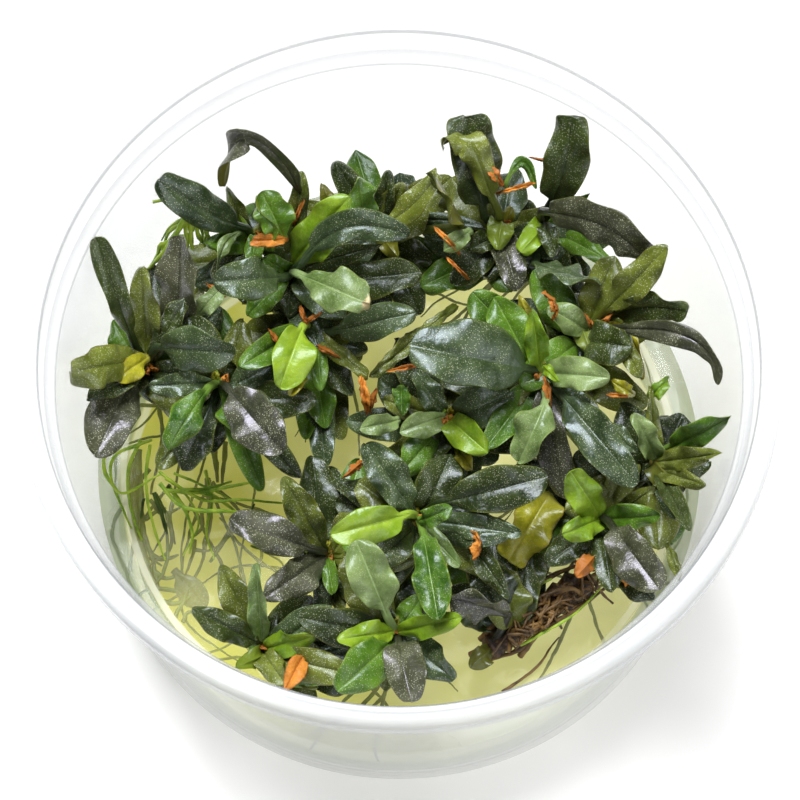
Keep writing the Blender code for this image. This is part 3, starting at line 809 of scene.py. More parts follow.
SHOOTS = (
    Shoot("left_shoot", ((147, 362, 30), (150, 377, 24), (158, 398, 17)), 1.3,
          shade=(-60.0, 150.0), leaves=(
        Leaf((135, 345, 33), (98, 238, 47), 3.5, DARK, BLUNT, arch=0.8, tone=1.0),
        Leaf((137, 360, 34), (71, 372, 45.5), 5.2, OLIVE, SQUARE, arch=2.0, hook=1.0, fold=-8, tone=1.0),
        Leaf((157, 347, 34), (235, 353, 37), 6.3, SLATE, arch=2.5, fold=8),
        Leaf((136, 374, 31), (95, 457, 37), 6.6, MAUVE, arch=1.8, fold=6),
        Leaf((178, 340, 28), (181, 235, 41), 6.0, MAUVE),
    ), young=(
        small(140, 267, 44, 4.4, OLIVE), small(88, 400, 37, 3.6, DARK),
        small(112, 345, 36, 2.2, OLIVE, LANCE), small(187, 299, 33, 3.2, DARK),
    ), fine=(
        Leaf((147, 358, 34), (115, 380, 38), 3.3, YELLOW, arch=1.0, fold=8, tone=0.4),
        Leaf((139, 361, 33), (115, 377, 35), 2.4, YELLOW, LANCE, arch=0.8),
        small(158, 306, 34, 3.2, DARK), Leaf((196, 316, 30), (222, 288, 33), 3.0, PALE, wave=0.6),
        small(118, 395, 30, 4.0, DARK), small(150, 402, 28, 3.2, SLATE), small(198, 378, 30, 3.4, DARK),
    )),
    Shoot("back_left_shoot", ((250, 236, 29), (254, 260, 22), (260, 280, 17)), 1.2,
          leaves=(
        Leaf((246, 228, 33), (159, 179, 46), 4.9, SLATE, BLUNT, arch=1.0, sway=0.8, fold=6, wave=0.4),
        Leaf((272, 248, 33), (258, 195, 41), 5.8, GREEN, SPATULA, fold=4, tone=1.0),
    ), young=(
        small(213, 280, 31, 3.2, DARK), small(207, 244, 37, 3.8, GREEN),
        small(239, 214, 35, 2.0, BRIGHT, LANCE),
    ), fine=(
        Leaf((284, 238, 37), (262, 192, 42), 5.2, GREEN, fold=5, tone=1.0),
        Leaf((240, 232, 33), (217, 272, 33), 1.8, PALE, LANCE, sway=-0.8),
        Leaf((256, 238, 32), (251, 268, 33), 2.5, GREEN), small(227, 186, 37, 2.6, OLIVE),
        small(233, 262, 29, 3.0, DARK), small(276, 215, 33, 2.8, OLIVE),
    )),
    Shoot("back_shoot", ((290, 266, 31), (294, 285, 24), (300, 305, 17)), 1.4,
          leaves=(
        Leaf((301, 206, 34), (223, 186, 40), 3.7, MAUVE, STRAP, fold=10, twist=120, wave=0.2, path=((298,
             190, 39), (290, 172, 44), (275, 154, 48.5), (260, 142, 50.5), (246, 138, 51), (234, 145,
             49.5), (228, 157, 46.5), (224, 170, 43.5))),
        Leaf((303, 262, 36), (408, 236, 40), 4.5, SLATE, STRAP, arch=2.5, sway=3.0, fold=22, wave=0.4),
        Leaf((298, 274, 35), (370, 305, 41), 5.8, PALE, SPATULA, fold=6, torn=0.07, tone=0.0),
        Leaf((283, 278, 34), (213, 282, 40), 5.8, SLATE, arch=2.0),
        Leaf((302, 284, 29), (422, 273, 33), 5.4, DARK),
    ), young=(
        small(350, 197, 42, 6.2, BRIGHT, arch=2.0, fold=4, tone=0.4), small(302, 171, 40, 3.2, OLIVE),
        small(385, 243, 35, 2.8, DARK, LANCE),
    ), fine=(
        Leaf((330, 204, 33), (322, 184, 36), 2.0, OLIVE), small(248, 316, 29, 3.8, GREEN),
        small(318, 232, 33, 3.2, GREEN), small(340, 262, 31, 4.2, OLIVE), small(288, 318, 28, 3.6, DARK),
        small(345, 318, 29, 4.6, SLATE), small(262, 258, 31, 2.8, GREEN),
    )),
    Shoot("upper_back_shoot", ((378, 228, 29), (384, 245, 23), (392, 262, 17)), 1.2,
          leaves=(
        Leaf((366, 222, 35), (358, 177, 43), 4.9, GREEN),
        Leaf((462, 226, 32), (430, 171, 42), 6.0, OLIVE),
    ), young=(
        small(335, 162, 40, 4.0, DARK), small(402, 183, 38, 4.6, OLIVE),
        small(484, 226, 35, 1.9, SLATE, STRAP, sway=1.5), small(388, 171, 40, 3.2, DARK),
        small(421, 190, 37, 3.0, SLATE),
    ), fine=(
        Leaf((380, 224, 34), (438, 173, 41), 3.8, OLIVE, sway=-1.0, tone=1.0),
        small(352, 214, 33, 3.4, OLIVE), small(412, 212, 33, 3.4, DARK), small(368, 252, 30, 3.6, SLATE),
        small(432, 262, 28, 3.6, DARK), Leaf((470, 231, 33), (444, 251, 34), 2.6, PALE),
        small(398, 258, 30, 3.0, OLIVE),
    )),
    Shoot("back_right_shoot", ((500, 228, 30), (498, 248, 23), (496, 268, 17)), 1.3,
          leaves=(
        Leaf((484, 216, 33), (465, 116, 45.5), 6.9, DARK, SQUARE, arch=0.8, fold=5, tone=0.3),
        Leaf((498, 210, 35), (441, 140, 44), 4.2, OLIVE, BLUNT, fold=-10, wave=1.1, tone=1.0, twist=50,
             path=((488, 188, 40), (480, 164, 43.5), (470, 145, 45.5), (455, 137, 45.5))),
    ), young=(
        small(497, 250, 33, 3.6, GREEN, arch=2.5), small(517, 291, 31, 4.4, MAUVE, arch=2.0),
        small(454, 284, 27, 4.6, DARK),
    ), fine=(
        Leaf((505, 187, 38), (536, 189, 38), 1.5, GREEN, STRAP, sway=3.6, arch=0.6),
        small(478, 262, 31, 3.4, OLIVE), small(512, 206, 34, 2.4, OLIVE), small(470, 250, 30, 3.2, DARK),
    )),
    Shoot("rear_right_shoot", ((545, 224, 29), (550, 245, 23), (556, 268, 17)), 1.3,
          leaves=(
        Leaf((548, 208, 32), (570, 118, 44.5), 5.8, DARK, SQUARE, arch=1.0, sway=-0.8, fold=8, wave=0.9),
        Leaf((541, 211, 35), (646, 258, 41), 5.8, MAUVE, BLUNT, fold=6, wave=0.5, path=((556, 213, 38.5),
             (580, 218, 41.5), (606, 227, 43), (628, 242, 43))),
        Leaf((535, 264, 31), (602, 285, 37), 5.6, SLATE, arch=2.0, fold=4, tone=0.8),
    ), young=(
        small(520, 252, 33, 3.6, BRIGHT, BLUNT, arch=2.0, tone=0.7),
        small(611, 262, 33, 3.2, GREEN, tone=1.0), small(590, 193, 36, 2.0, GREEN, LANCE),
    ), fine=(
        Leaf((545, 225, 31), (554, 257, 33), 2.8, DARK), small(576, 216, 32, 3.2, DARK),
        small(585, 246, 31, 3.4, OLIVE), small(568, 290, 29, 3.6, DARK),
    )),
    Shoot("right_shoot", ((592, 326, 32), (577, 345, 28), (562, 372, 22), (552, 396, 17)), 1.4,
          wooden=True, leaves=(
        Leaf((604, 312, 35), (668, 246, 46), 4.6, OLIVE),
        Leaf((610, 318, 33), (688, 311, 41), 5.0, DARK, sway=1.0, tone=1.0),
        Leaf((610, 328, 35), (718, 384, 40), 3.3, MAUVE, STRAP, fold=12, twist=25, wave=0.3, path=((636,
             329, 39), (668, 331, 42), (697, 342, 43.5), (714, 361, 42.5)), tone=0.4),
    ), young=(
        small(642, 380, 33, 2.0, YELLOW, STRAP, arch=2.0, sway=3.0), small(547, 308, 36, 4.0, PALE),
        small(614, 256, 36, 5.2, OLIVE), small(593, 357, 33, 3.2, PALE, arch=2.0),
    ), fine=(
        Leaf((620, 342, 33), (641, 378, 34), 2.4, OLIVE), small(640, 292, 33, 3.8, OLIVE),
        small(584, 384, 28, 3.4, SLATE),
    )),
    Shoot("centre_shoot", ((540, 370, 35), (534, 388, 27), (522, 412, 17)), 1.4,
          leaves=(
        Leaf((524, 368, 37), (410, 346, 42), 8.8, SLATE, STRAP, arch=2.0, fold=8, tone=0.4, stalk=0.02,
             wave=0.35),
        Leaf((547, 398, 34), (520, 460, 32), 5.4, PALE, arch=2.5, tone=0.1, wave=1.0),
        Leaf((556, 389, 34), (637, 485, 36), 5.8, SLATE, arch=2.0),
        Leaf((522, 346, 32), (472, 292, 38), 5.4, GREEN, arch=1.0),
    ), young=(
        small(532, 310, 44, 3.4, BRIGHT, LANCE, arch=1.0), small(610, 378, 39, 4.6, PALE),
        small(565, 499, 29, 4.8, MAUVE, arch=2.0),
    ), fine=(
        Leaf((545, 368, 37), (559, 382, 38), 1.6, BRIGHT, LANCE),
        Leaf((600, 424, 33), (638, 453, 35), 3.0, SLATE, LANCE),
        Leaf((528, 318, 33), (519, 295, 37), 2.0, YELLOW, LANCE), small(498, 330, 30, 4.0, DARK),
        small(500, 400, 29, 3.8, OLIVE), small(590, 420, 30, 4.2, SLATE), small(544, 440, 28, 3.8, DARK),
    )),
    Shoot("middle_shoot", ((308, 324, 27), (314, 340, 22), (322, 356, 17)), 1.2,
          leaves=(
        Leaf((330, 332, 29), (416, 313, 34), 5.0, SLATE),
        Leaf((303, 326, 31), (280, 388, 32), 5.6, BRIGHT, arch=2.0),
    ), young=(
        small(240, 367, 33, 4.2, GREEN), small(352, 395, 26, 4.4, DARK),
        small(368, 377, 31, 2.4, OLIVE, STRAP), small(325, 428, 24, 4.4, GREEN),
        small(272, 402, 26, 3.4, OLIVE),
    ), fine=(
        Leaf((455, 306, 29), (369, 377, 33), 2.6, OLIVE, STRAP, arch=0.8, fold=26.0, tone=0.0, wave=1.1,
             crumple=0.22),
        Leaf((318, 350, 28), (321, 391, 30), 2.6, GREEN),
        Leaf((304, 372, 29), (290, 396, 31), 2.2, YELLOW), small(351, 352, 27, 4.2, DARK),
        small(306, 440, 25, 4.0, GREEN), small(342, 440, 24, 4.2, OLIVE), small(368, 350, 28, 3.6, SLATE),
        small(262, 340, 29, 3.4, DARK), small(325, 468, 23, 4.6, SLATE), small(300, 410, 26, 3.8, OLIVE),
    )),
    Shoot("left_middle_shoot", ((219, 381, 31), (224, 400, 24), (230, 418, 17)), 1.3,
          shade=(-60.0, 200.0), leaves=(
        Leaf((208, 388, 34), (168, 450, 36), 4.8, GREEN, SPATULA, arch=2.5, fold=-8),
        Leaf((214, 398, 30), (182, 470, 29), 5.6, DARK),
        Leaf((226, 386, 34), (283, 452, 36), 6.6, MAUVE, arch=2.0),
    ), young=(
        small(150, 386, 33, 3.4, SLATE), small(262, 490, 27, 3.4, GREEN),
    ), fine=(
        Leaf((184, 438, 28), (157, 468, 30), 3.4, OLIVE), small(208, 452, 27, 4.4, DARK),
        small(245, 402, 29, 3.4, SLATE), small(232, 345, 28, 3.2, DARK), small(300, 478, 25, 3.6, DARK),
    )),
    Shoot("small_middle_shoot", ((446, 414, 30), (446, 430, 23), (444, 446, 17)), 1.0,
          young=(
        small(400, 432, 32, 3.6, PALE), small(488, 453, 33, 4.2, BRIGHT, arch=2.0),
        small(414, 371, 33, 3.4, SLATE), small(500, 401, 30, 2.6, DARK), small(428, 468, 27, 3.4, DARK),
        small(464, 478, 25, 3.0, SLATE),
    ), fine=(
        Leaf((398, 420, 31), (360, 429, 33), 3.0, PALE), Leaf((401, 388, 30), (402, 414, 31), 2.4, GREEN),
        Leaf((458, 450, 27), (472, 470, 28), 2.2, YELLOW), small(385, 400, 28, 3.4, OLIVE),
        small(476, 420, 29, 3.0, GREEN), small(398, 470, 25, 3.6, DARK), small(450, 380, 28, 3.2, OLIVE),
    )),
    Shoot("front_middle_shoot", ((416, 516, 31), (420, 532, 24), (424, 550, 17)), 1.3,
          shade=(-20.0, 240.0), leaves=(
        Leaf((408, 514, 34), (331, 535, 37), 5.0, BRIGHT),
        Leaf((422, 526, 33), (438, 620, 36), 4.8, GREEN), Leaf((438, 504, 33), (548, 476, 37), 6.0, DARK),
    ), young=(
        small(366, 444, 37, 5.2, SLATE, arch=2.0), small(521, 532, 33, 3.4, SLATE),
        small(335, 480, 29, 3.6, DARK), small(460, 566, 31, 2.6, PALE), small(385, 592, 27, 4.0, DARK),
    ), fine=(
        Leaf((420, 520, 33), (452, 507, 37), 2.8, GREEN),
        Leaf((470, 542, 29), (509, 598, 30), 3.2, DARK, LANCE),
        Leaf((549, 494, 26), (508, 560, 25), 6.0, YELLOW, SQUARE, wave=2.0, crumple=0.03, stalk=0.0,
             fold=24, tone=0.0),
        Leaf((432, 498, 28), (418, 489, 29), 1.6, YELLOW), small(378, 540, 28, 4.0, DARK),
        small(468, 500, 28, 3.4, SLATE), small(490, 575, 27, 3.4, OLIVE), small(392, 484, 29, 3.8, DARK),
    )),
    Shoot("front_left_shoot", ((326, 551, 27), (330, 565, 22), (334, 580, 17)), 1.1,
          shade=(-60.0, 110.0), leaves=(
        Leaf((316, 550, 29), (229, 520, 35), 5.2, MAUVE),
    ), young=(
        small(283, 477, 36, 4.2, OLIVE), small(263, 598, 32, 5.0, MAUVE), small(333, 594, 27, 2.4, GREEN),
    ), fine=(
        Leaf((300, 538, 29), (306, 553, 30), 1.6, BRIGHT), small(321, 618, 25, 3.0, DARK),
        small(342, 614, 26, 2.6, OLIVE), small(352, 520, 27, 3.6, SLATE), small(285, 540, 27, 3.4, DARK),
    )),
    Shoot("front_shoot", ((395, 629, 28), (396, 642, 22), (397, 655, 17)), 1.2,
          shade=(60.0, 240.0), leaves=(
        Leaf((388, 618, 31), (356, 540, 38), 6.2, PALE),
        Leaf((398, 640, 28), (411, 702, 33), 5.2, MAUVE, BLUNT, arch=2.0),
    ), young=(
        small(337, 640, 33, 3.8, BRIGHT), small(462, 617, 35, 3.4, BRIGHT),
        small(455, 680, 31, 5.0, SLATE, tone=0.8), small(316, 656, 27, 3.8, SLATE),
    ), fine=(
        small(372, 600, 27, 3.6, DARK), small(428, 650, 27, 3.6, SLATE), small(365, 668, 24, 3.6, DARK),
        small(385, 690, 25, 3.4, OLIVE), small(420, 600, 27, 3.4, GREEN),
    )),
    Shoot("front_left_corner_shoot", ((263, 643, 25), (264, 655, 21), (265, 664, 17)), 1.1,
          shade=(-60.0, 60.0), young=(
        small(192, 608, 32, 3.8, DARK), small(256, 563, 34, 3.2, PALE, STRAP, fold=35),
        small(315, 635, 31, 3.6, BRIGHT), small(286, 685, 29, 3.6, OLIVE),
        small(220, 565, 30, 4.2, OLIVE), small(236, 668, 28, 2.8, GREEN),
    ), fine=(
        small(275, 615, 27, 2.8, DARK), small(300, 668, 25, 3.2, DARK), small(245, 625, 26, 3.0, GREEN),
        small(318, 688, 25, 3.0, OLIVE),
    )),
    Shoot("right_edge_shoot", ((657, 458, 29), (652, 476, 23), (644, 494, 17)), 1.2,
          leaves=(
        Leaf((667, 449, 32), (731, 416, 47), 3.8, GREEN, LANCE),
    ), young=(
        small(634, 414, 37, 4.0, PALE, fold=30), small(721, 453, 42, 3.2, OLIVE, LANCE),
        small(683, 493, 33, 4.6, SLATE, arch=2.0), small(650, 386, 37, 2.2, OLIVE, LANCE),
        small(689, 530, 42, 2.8, DARK), small(705, 485, 41, 2.6, OLIVE),
    ), fine=(
        Leaf((650, 396, 33), (668, 380, 35), 2.2, BRIGHT),
        Leaf((632, 394, 32), (612, 382, 34), 2.0, YELLOW), small(668, 492, 29, 3.6, DARK),
        small(640, 480, 29, 3.4, DARK), small(700, 452, 36, 3.2, DARK), small(676, 520, 33, 3.0, SLATE),
    )),
    Shoot("right_front_shoot", ((600, 515, 29), (597, 532, 23), (592, 548, 17)), 1.3,
          shade=(-10.0, 220.0), leaves=(
        Leaf((609, 522, 31), (660, 590, 36), 6.0, MAUVE),
    ), young=(
        small(570, 471, 37, 4.4, BRIGHT, BLUNT, fold=6),
        small(562, 535, 33, 3.6, BRIGHT, fold=6, tone=0.2), small(662, 515, 36, 3.8, GREEN),
        small(612, 592, 31, 4.6, DARK, tone=0.8), small(546, 564, 28, 4.0, DARK),
        small(655, 487, 33, 2.8, OLIVE),
    ), fine=(
        Leaf((622, 574, 28), (654, 600, 30), 3.4, DARK),
        Leaf((668, 546, 30), (679, 581, 31), 1.6, OLIVE, LANCE), small(636, 560, 29, 3.6, OLIVE),
        small(570, 520, 28, 3.8, DARK), small(628, 492, 30, 3.6, SLATE), small(590, 566, 26, 3.4, DARK),
        small(640, 538, 31, 3.4, DARK),
    )),
    Shoot("old_rhizome", ((484, 652, 18.5), (512, 632, 19), (548, 606, 19), (586, 582, 18.5)), 2.4,
          shade=(70.0, 150.0), wooden=True, old=True, leaves=(
        Leaf((508, 614, 24), (450, 597, 29), 6.0, MAUVE),
    ), young=(
        small(470, 668, 22, 3.0, DARK),
    )),
)

HUSKS = (
    husk((286, 239, 37), (253, 241, 38), 1.8, SQUARE, 16.0, 0.07),
    husk((293, 228, 34), (303, 200, 38), 1.0), husk((222, 294, 30), (206, 283, 33), 1.5, LANCE, 30.0),
    husk((459, 253, 33), (435, 228, 35), 1.0), husk((467, 278, 31), (447, 258, 33), 0.9),
    husk((501, 183, 40), (484, 163, 42), 1.6, LANCE, 30.0, wave=0.5),
    husk((548, 162, 38), (530, 158, 40), 0.9), husk((498, 193, 38), (535, 184, 39), 0.9),
    husk((600, 327, 32), (613, 313, 36), 1.5, LANCE, 40.0),
    husk((592, 326, 32), (584, 313, 35), 1.2, LANCE, 40.0),
    husk((548, 420, 30), (545, 376, 36), 1.1, STRAP, 50.0, sway=-0.4),
    husk((553, 318, 36), (544, 291, 39), 1.2, STRAP, 50.0, sway=-0.8),
    husk((320, 347, 29), (340, 358, 31), 0.9), husk((281, 346, 30), (268, 329, 33), 1.0),
    husk((368, 411, 27), (361, 376, 31), 1.6, STRAP, 35.0, 0.25, wave=0.5),
    husk((372, 404, 27), (376, 388, 30), 1.4, LANCE, 35.0), husk((415, 366, 33), (388, 371, 33), 1.0),
    husk((359, 464, 30), (344, 478, 31), 1.7, LANCE, 35.0),
    husk((470, 532, 32), (474, 560, 32), 1.4, sway=1.0),
    husk((303, 656, 28), (284, 692, 30), 2.9, LANCE, 20.0, 0.05, wave=0.6),
    husk((593, 556, 28), (576, 577, 31), 2.8, OVAL, 20.0, 0.07, wave=0.8),
    husk((612, 578, 29), (629, 587, 30), 1.4, STRAP, 40.0, sway=1.5),
    husk((625, 396, 34), (608, 394, 35), 0.9), husk((620, 459, 32), (606, 477, 33), 1.4, LANCE, 40.0),
    husk((306, 322, 29), (300, 306, 32), 0.9, STRAP, 40.0, 0.2),
    Leaf((174, 570, 12.5), (206, 608, 11.5), 3.6, DARK, arch=0.3, fold=4.0, wave=0.2),
    husk((310, 320, 29), (322, 312, 32), 0.8, STRAP, 40.0, 0.2),
)


class Clump:
    """All the plantlets: blades that stand for the broad leaves, and stems with their small leaves."""

    def __init__(self) -> None:
        """Make the leaf skins, in the order of the tints, and the two stem barks."""
        self.materials = [finish.material() for finish in (*FINISHES, GREEN_STEM, WOOD_STEM)]
        self.placed: list[tuple[BVHTree, np.ndarray, np.ndarray]] = []
        self.cad_points: dict[str, KDTree] = {}

    def cad_tree(self, node: str) -> KDTree:
        """Search tree of a node's own points, in millimetres."""
        if node not in self.cad_points:
            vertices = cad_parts[node].data.vertices
            tree = KDTree(len(vertices))
            for index, vertex in enumerate(vertices):
                tree.insert(vertex.co / MM, index)
            tree.balance()
            self.cad_points[node] = tree
        return self.cad_points[node]

    def settled_lift(self, leaf: Leaf, node: str) -> float:
        """Lift that puts a leaf's tip on the tip that its node has.

        Args:
            leaf: the leaf.
            node: the frame's node that holds it.

        Returns:
            Millimetres towards the eye.
        """
        end = CAMERA.at_pixel(*leaf.tip)
        tree = self.cad_tree(node)
        gaps = []
        for step in range(-SETTLED_STEPS, SETTLED_STEPS + 1):
            lift = LIFT_STEP * step
            gaps.append((tree.find(end - CAMERA.forward * lift)[2], abs(lift), lift))
        nearest = min(gaps)
        return nearest[2] if nearest[0] < MATCHED_GAP else 0.0

    def coarse(self, leaf: Leaf, knots: np.ndarray, lift: float, seed: str) -> tuple[BVHTree, np.ndarray]:
        """Search tree and points of a plain copy of a leaf, clear of its stalk."""
        rings = Blade.grow(leaf, knots, lift, seed, stations=9, spread=COARSE, first_share=0.2).rings
        points = rings.reshape(-1, 3)
        tree = BVHTree.FromPolygons([Vector(point) for point in points], ring_faces(*rings.shape[:2]))
        return tree, points

    def clear_lift(self, leaf: Leaf, knots: np.ndarray, seed: str) -> Optional[float]:
        """Smallest lift at which a leaf crosses fewest others and stays in the cup, if it can."""
        best = (MOST_CROSSED + 1, None)
        for step in sorted(range(-CLEAR_STEPS, CLEAR_STEPS + 1), key=lambda value: (abs(value), value)):
            lift = LIFT_STEP * step
            tree, points = self.coarse(leaf, knots, lift, seed)
            low, high = points.min(axis=0), points.max(axis=0)
            flat = np.hypot(points[:, 0], points[:, 1])
            if np.any(flat > CUP.inner_radius(points[:, 2]) - WALL_ROOM) or low[2] < GEL.top + GEL_ROOM:
                continue
            hits = 0
            for other, other_low, other_high in self.placed:
                if np.all(low < other_high) and np.all(other_low < high):
                    hits += bool(tree.overlap(other))
            if hits < best[0]:
                best = (hits, lift)
            if hits == 0:
                break
        return best[1]

    def draw(self, draft: Draft, leaf: Leaf, knots: np.ndarray, lift: float, seed: str,
             lead: Optional[np.ndarray] = None, stations: int = LEAF_STATIONS) -> None:
        """Add a leaf to a draft."""
        blade = Blade.grow(leaf, knots, lift, seed, lead, stations)
        chance = random.Random("tone " + seed).random()
        tone = chance if leaf.tone < 0.0 else leaf.tone
        draft.add_tube(blade.rings, TINTS.index(leaf.tint), blade.maps, tone, blade.under, blade.scar)

    def settle(self, draft: Draft, leaf: Leaf, knots: np.ndarray, lift: float, seed: str,
               lead: Optional[np.ndarray] = None, stations: int = LEAF_STATIONS) -> None:
        """Add a leaf to a draft and keep its place, so that later leaves keep clear of it."""
        self.draw(draft, leaf, knots, lift, seed, lead, stations)
        tree, points = self.coarse(leaf, knots, lift, seed)
        self.placed.append((tree, points.min(axis=0), points.max(axis=0)))

    def stalk_lead(self, shoot: Shoot, start: Vector, knots: np.ndarray, level: float) -> np.ndarray:
        """Places along a stalk, from inside the stem to the foot of a broad leaf's blade.

        Args:
            shoot: the plantlet.
            start: foot of the leaf.
            knots: control points of the leaf's midrib.
            level: share of the stem, from its crown, at which the stalk springs.

        Returns:
            Array of places, the foot itself left out.
        """
        crown, below = shoot.route(6)[:2]
        origin = crown + (below - crown) * level
        foot = np.array(start)
        ahead = unit(knots[1] - knots[0]) * min(3.0, 0.4 * np.linalg.norm(foot - origin))
        middle = 0.5 * (origin + foot - ahead) + np.array((0.0, 0.0, 0.3))
        share = np.linspace(0.0, 0.86, 6)[:, None]
        rest = 1.0 - share
        return origin * rest ** 2 + middle * (2.0 * rest * share) + foot * share ** 2

    def build_broad(self, shoot: Shoot) -> None:
        """Make each broad leaf of a plantlet."""
        for index, leaf in enumerate(shoot.leaves, 1):
            node = f"{shoot.name}_leaf_{index}"
            start = CAMERA.at_pixel(*leaf.foot)
            knots = leaf.knots(start)
            draft = Draft()
            lead = self.stalk_lead(shoot, start, knots, 0.25 * index)
            self.settle(draft, leaf, knots, self.settled_lift(leaf, node), node, lead)
            hand_in(draft.build(f"{shoot.name}_blade_{index}", self.materials), "leaf", node)

    def stem(self, draft: Draft, shoot: Shoot, dice: random.Random) -> None:
        """Add a plantlet's knobbly stem, narrow at its top."""
        around = 16
        route = shoot.route(40)
        shares = np.linspace(0.0, 1.0, len(route))
        ripple = 1.0 + 0.07 * np.sin(shares * 46.0 + dice.uniform(0.0, 6.0))
        top = np.clip(shares / 0.08, 0.25, 1.0) ** 0.5
        radii = (0.86 * shoot.girth * (0.8 + 0.2 * shares) * ripple * top)[:, None]
        knotty = 0.22 if shoot.old else 0.07
        bumps = np.array([[dice.uniform(1.0 - knotty, 1.0 + knotty) for _ in range(around)] for _ in route])
        rings, maps = tube_rings(route, radii * bumps, around)
        draft.add_tube(rings, len(FINISHES) + int(shoot.wooden), maps, dice.random())

    def build_stem(self, shoot: Shoot) -> None:
        """Make a plantlet's stem with its small leaves and its crown of sheaths."""
        node = shoot.name + "_stem"
        draft = Draft()
        dice = random.Random(node)
        self.stem(draft, shoot, dice)
        for index, leaf in enumerate(shoot.young):
            knots = leaf.knots(shoot.sprout(index))
            self.settle(draft, leaf, knots, self.settled_lift(leaf, node), f"{node}_{index}")
        for index, leaf in enumerate(shoot.fine):
            start = CAMERA.at_pixel(*leaf.foot) if leaf.foot else shoot.sprout(1.5 + 0.5 * index)
            knots = leaf.knots(start)
            seed = f"{node}_fine_{index}"
            self.settle(draft, leaf, knots, self.clear_lift(leaf, knots, seed) or 0.0, seed, stations=26)
        if not shoot.old:
            self.crown(draft, shoot, dice)
        self.undergrowth(draft, shoot, dice)
        piece = draft.build(shoot.name + "_plantlet", self.materials)
        hand_in(piece, "rhizome" if shoot.old else "stem", node)

    def undergrowth(self, draft: Draft, shoot: Shoot, dice: random.Random) -> None:
        """Add the shaded leaves low on a stem, wherever they find room."""
        low, high = shoot.shade
        route = shoot.route(12)
        for index in range(UNDER_LEAVES):
            turn = math.radians(low + (high - low) * (index + dice.uniform(0.1, 0.9)) / UNDER_LEAVES)
            start = Vector(route[3 + index % 4])
            reach = dice.uniform(6.5, 14.0)
            outward = Vector((math.cos(turn), math.sin(turn), 0.0))
            tip = start + outward * reach + Vector((0.0, 0.0, dice.uniform(1.0, 6.0)))
            tint = dice.choice((DARK, SLATE, DARK, OLIVE, GREEN))
            leaf = Leaf(None, None, dice.uniform(4.4, 6.2), tint, arch=dice.uniform(1.0, 2.4),
                        fold=dice.uniform(2.0, 16.0))
            knots = leaf.knots(start, tip)
            seed = f"{shoot.name}_under_{index}"
            lift = self.clear_lift(leaf, knots, seed)
            if lift is not None:
                self.settle(draft, leaf, knots, lift, seed, stations=22)

    def crown(self, draft: Draft, shoot: Shoot, dice: random.Random) -> None:
        """Add the tuft of new leaves and sheaths at the top of a stem."""
        crown, below = shoot.route(6)[:2]
        upward = Vector(unit(crown - below))
        for index, tint in enumerate((HUSK, BRIGHT, HUSK, YELLOW)):
            turn = 2.4 * index + dice.uniform(-0.9, 0.9)
            outward = Vector((math.cos(turn), math.sin(turn), 0.0))
            length = dice.uniform(1.2, 2.9)
            start = Vector(crown) - upward * dice.uniform(0.4, 2.0)
            tip = start + upward * length * 0.8 + outward * length * dice.uniform(0.35, 0.9)
            leaf = Leaf(None, None, dice.uniform(0.7, 1.5), tint, STRAP, crumple=0.12,
                        arch=dice.uniform(-0.4, 0.8), sway=dice.uniform(-0.6, 0.6), fold=40.0, wave=0.5)
            self.draw(draft, leaf, leaf.knots(start, tip), 0.0, f"{shoot.name}_crown_{index}", stations=12)

    def husks(self) -> None:
        """Make the dead sheaths and stalks in one piece."""
        draft = Draft()
        for index, leaf in enumerate(HUSKS):
            knots = leaf.knots(CAMERA.at_pixel(*leaf.foot))
            self.draw(draft, leaf, knots, 0.0, f"husk_{index}", stations=18)
        hand_in(draft.build("dead_sheaths", self.materials), "husk")

    def build(self) -> None:
        """Make every plantlet, the broad leaves first, and the husks."""
        for shoot in SHOOTS:
            self.build_broad(shoot)
        for shoot in SHOOTS:
            self.build_stem(shoot)
        self.husks()


@dataclass(frozen=True)
class CupFinish:
    """Moulded translucent plastic: milky, glossy, with painted dark lines of shade and refraction at its
    steps, and a painted glow.
    """

    base: Colour = (0.50, 0.51, 0.52)
    flow: Colour = (0.78, 0.81, 0.84)
    # crease: near-black colour of the painted shade and refraction lines along the moulded steps
    crease: Colour = (0.03, 0.04, 0.05)
    clear: float = 0.17
    milky: float = 0.46
    roughness: float = 0.22
    # glow: emitted white, painted light that brightens the plastic as if light scattered through it
    glow: float = 0.11

    def material(self) -> bpy.types.Material:
        """Node material that reads the mesh's crease, the share of painted dark line of shade at the steps,
        and its milkiness.
        """
        sketch = Sketch("cup_plastic")
        facing = sketch.add("ShaderNodeLayerWeight", Blend=0.5).outputs["Facing"]
        colour = sketch.mix(sketch.ramp(sketch.noise(45.0, 2.0), 0.3, 0.7, 0.0, 0.12), self.base, self.flow)
        # The crease value paints dark lines of shade and refraction at the steps over the plastic's own
        # colour.
        colour = sketch.mix(sketch.attribute("crease"), colour, self.crease)
        alpha = sketch.ramp(facing, 0.25, 1.0, self.clear, self.milky)
        alpha = sketch.maths("MAXIMUM", alpha, sketch.attribute("milky"))
        # The emission is painted light scattered through the plastic; the cup is no lamp.
        return sketch.finish(Base_Color=colour, Roughness=self.roughness, Alpha=alpha, IOR=1.49,
                             Emission_Color=(1.0, 1.0, 1.0), Emission_Strength=self.glow,
                             Normal=sketch.bump(sketch.noise(120.0, 1.0), 0.0001, 0.3))


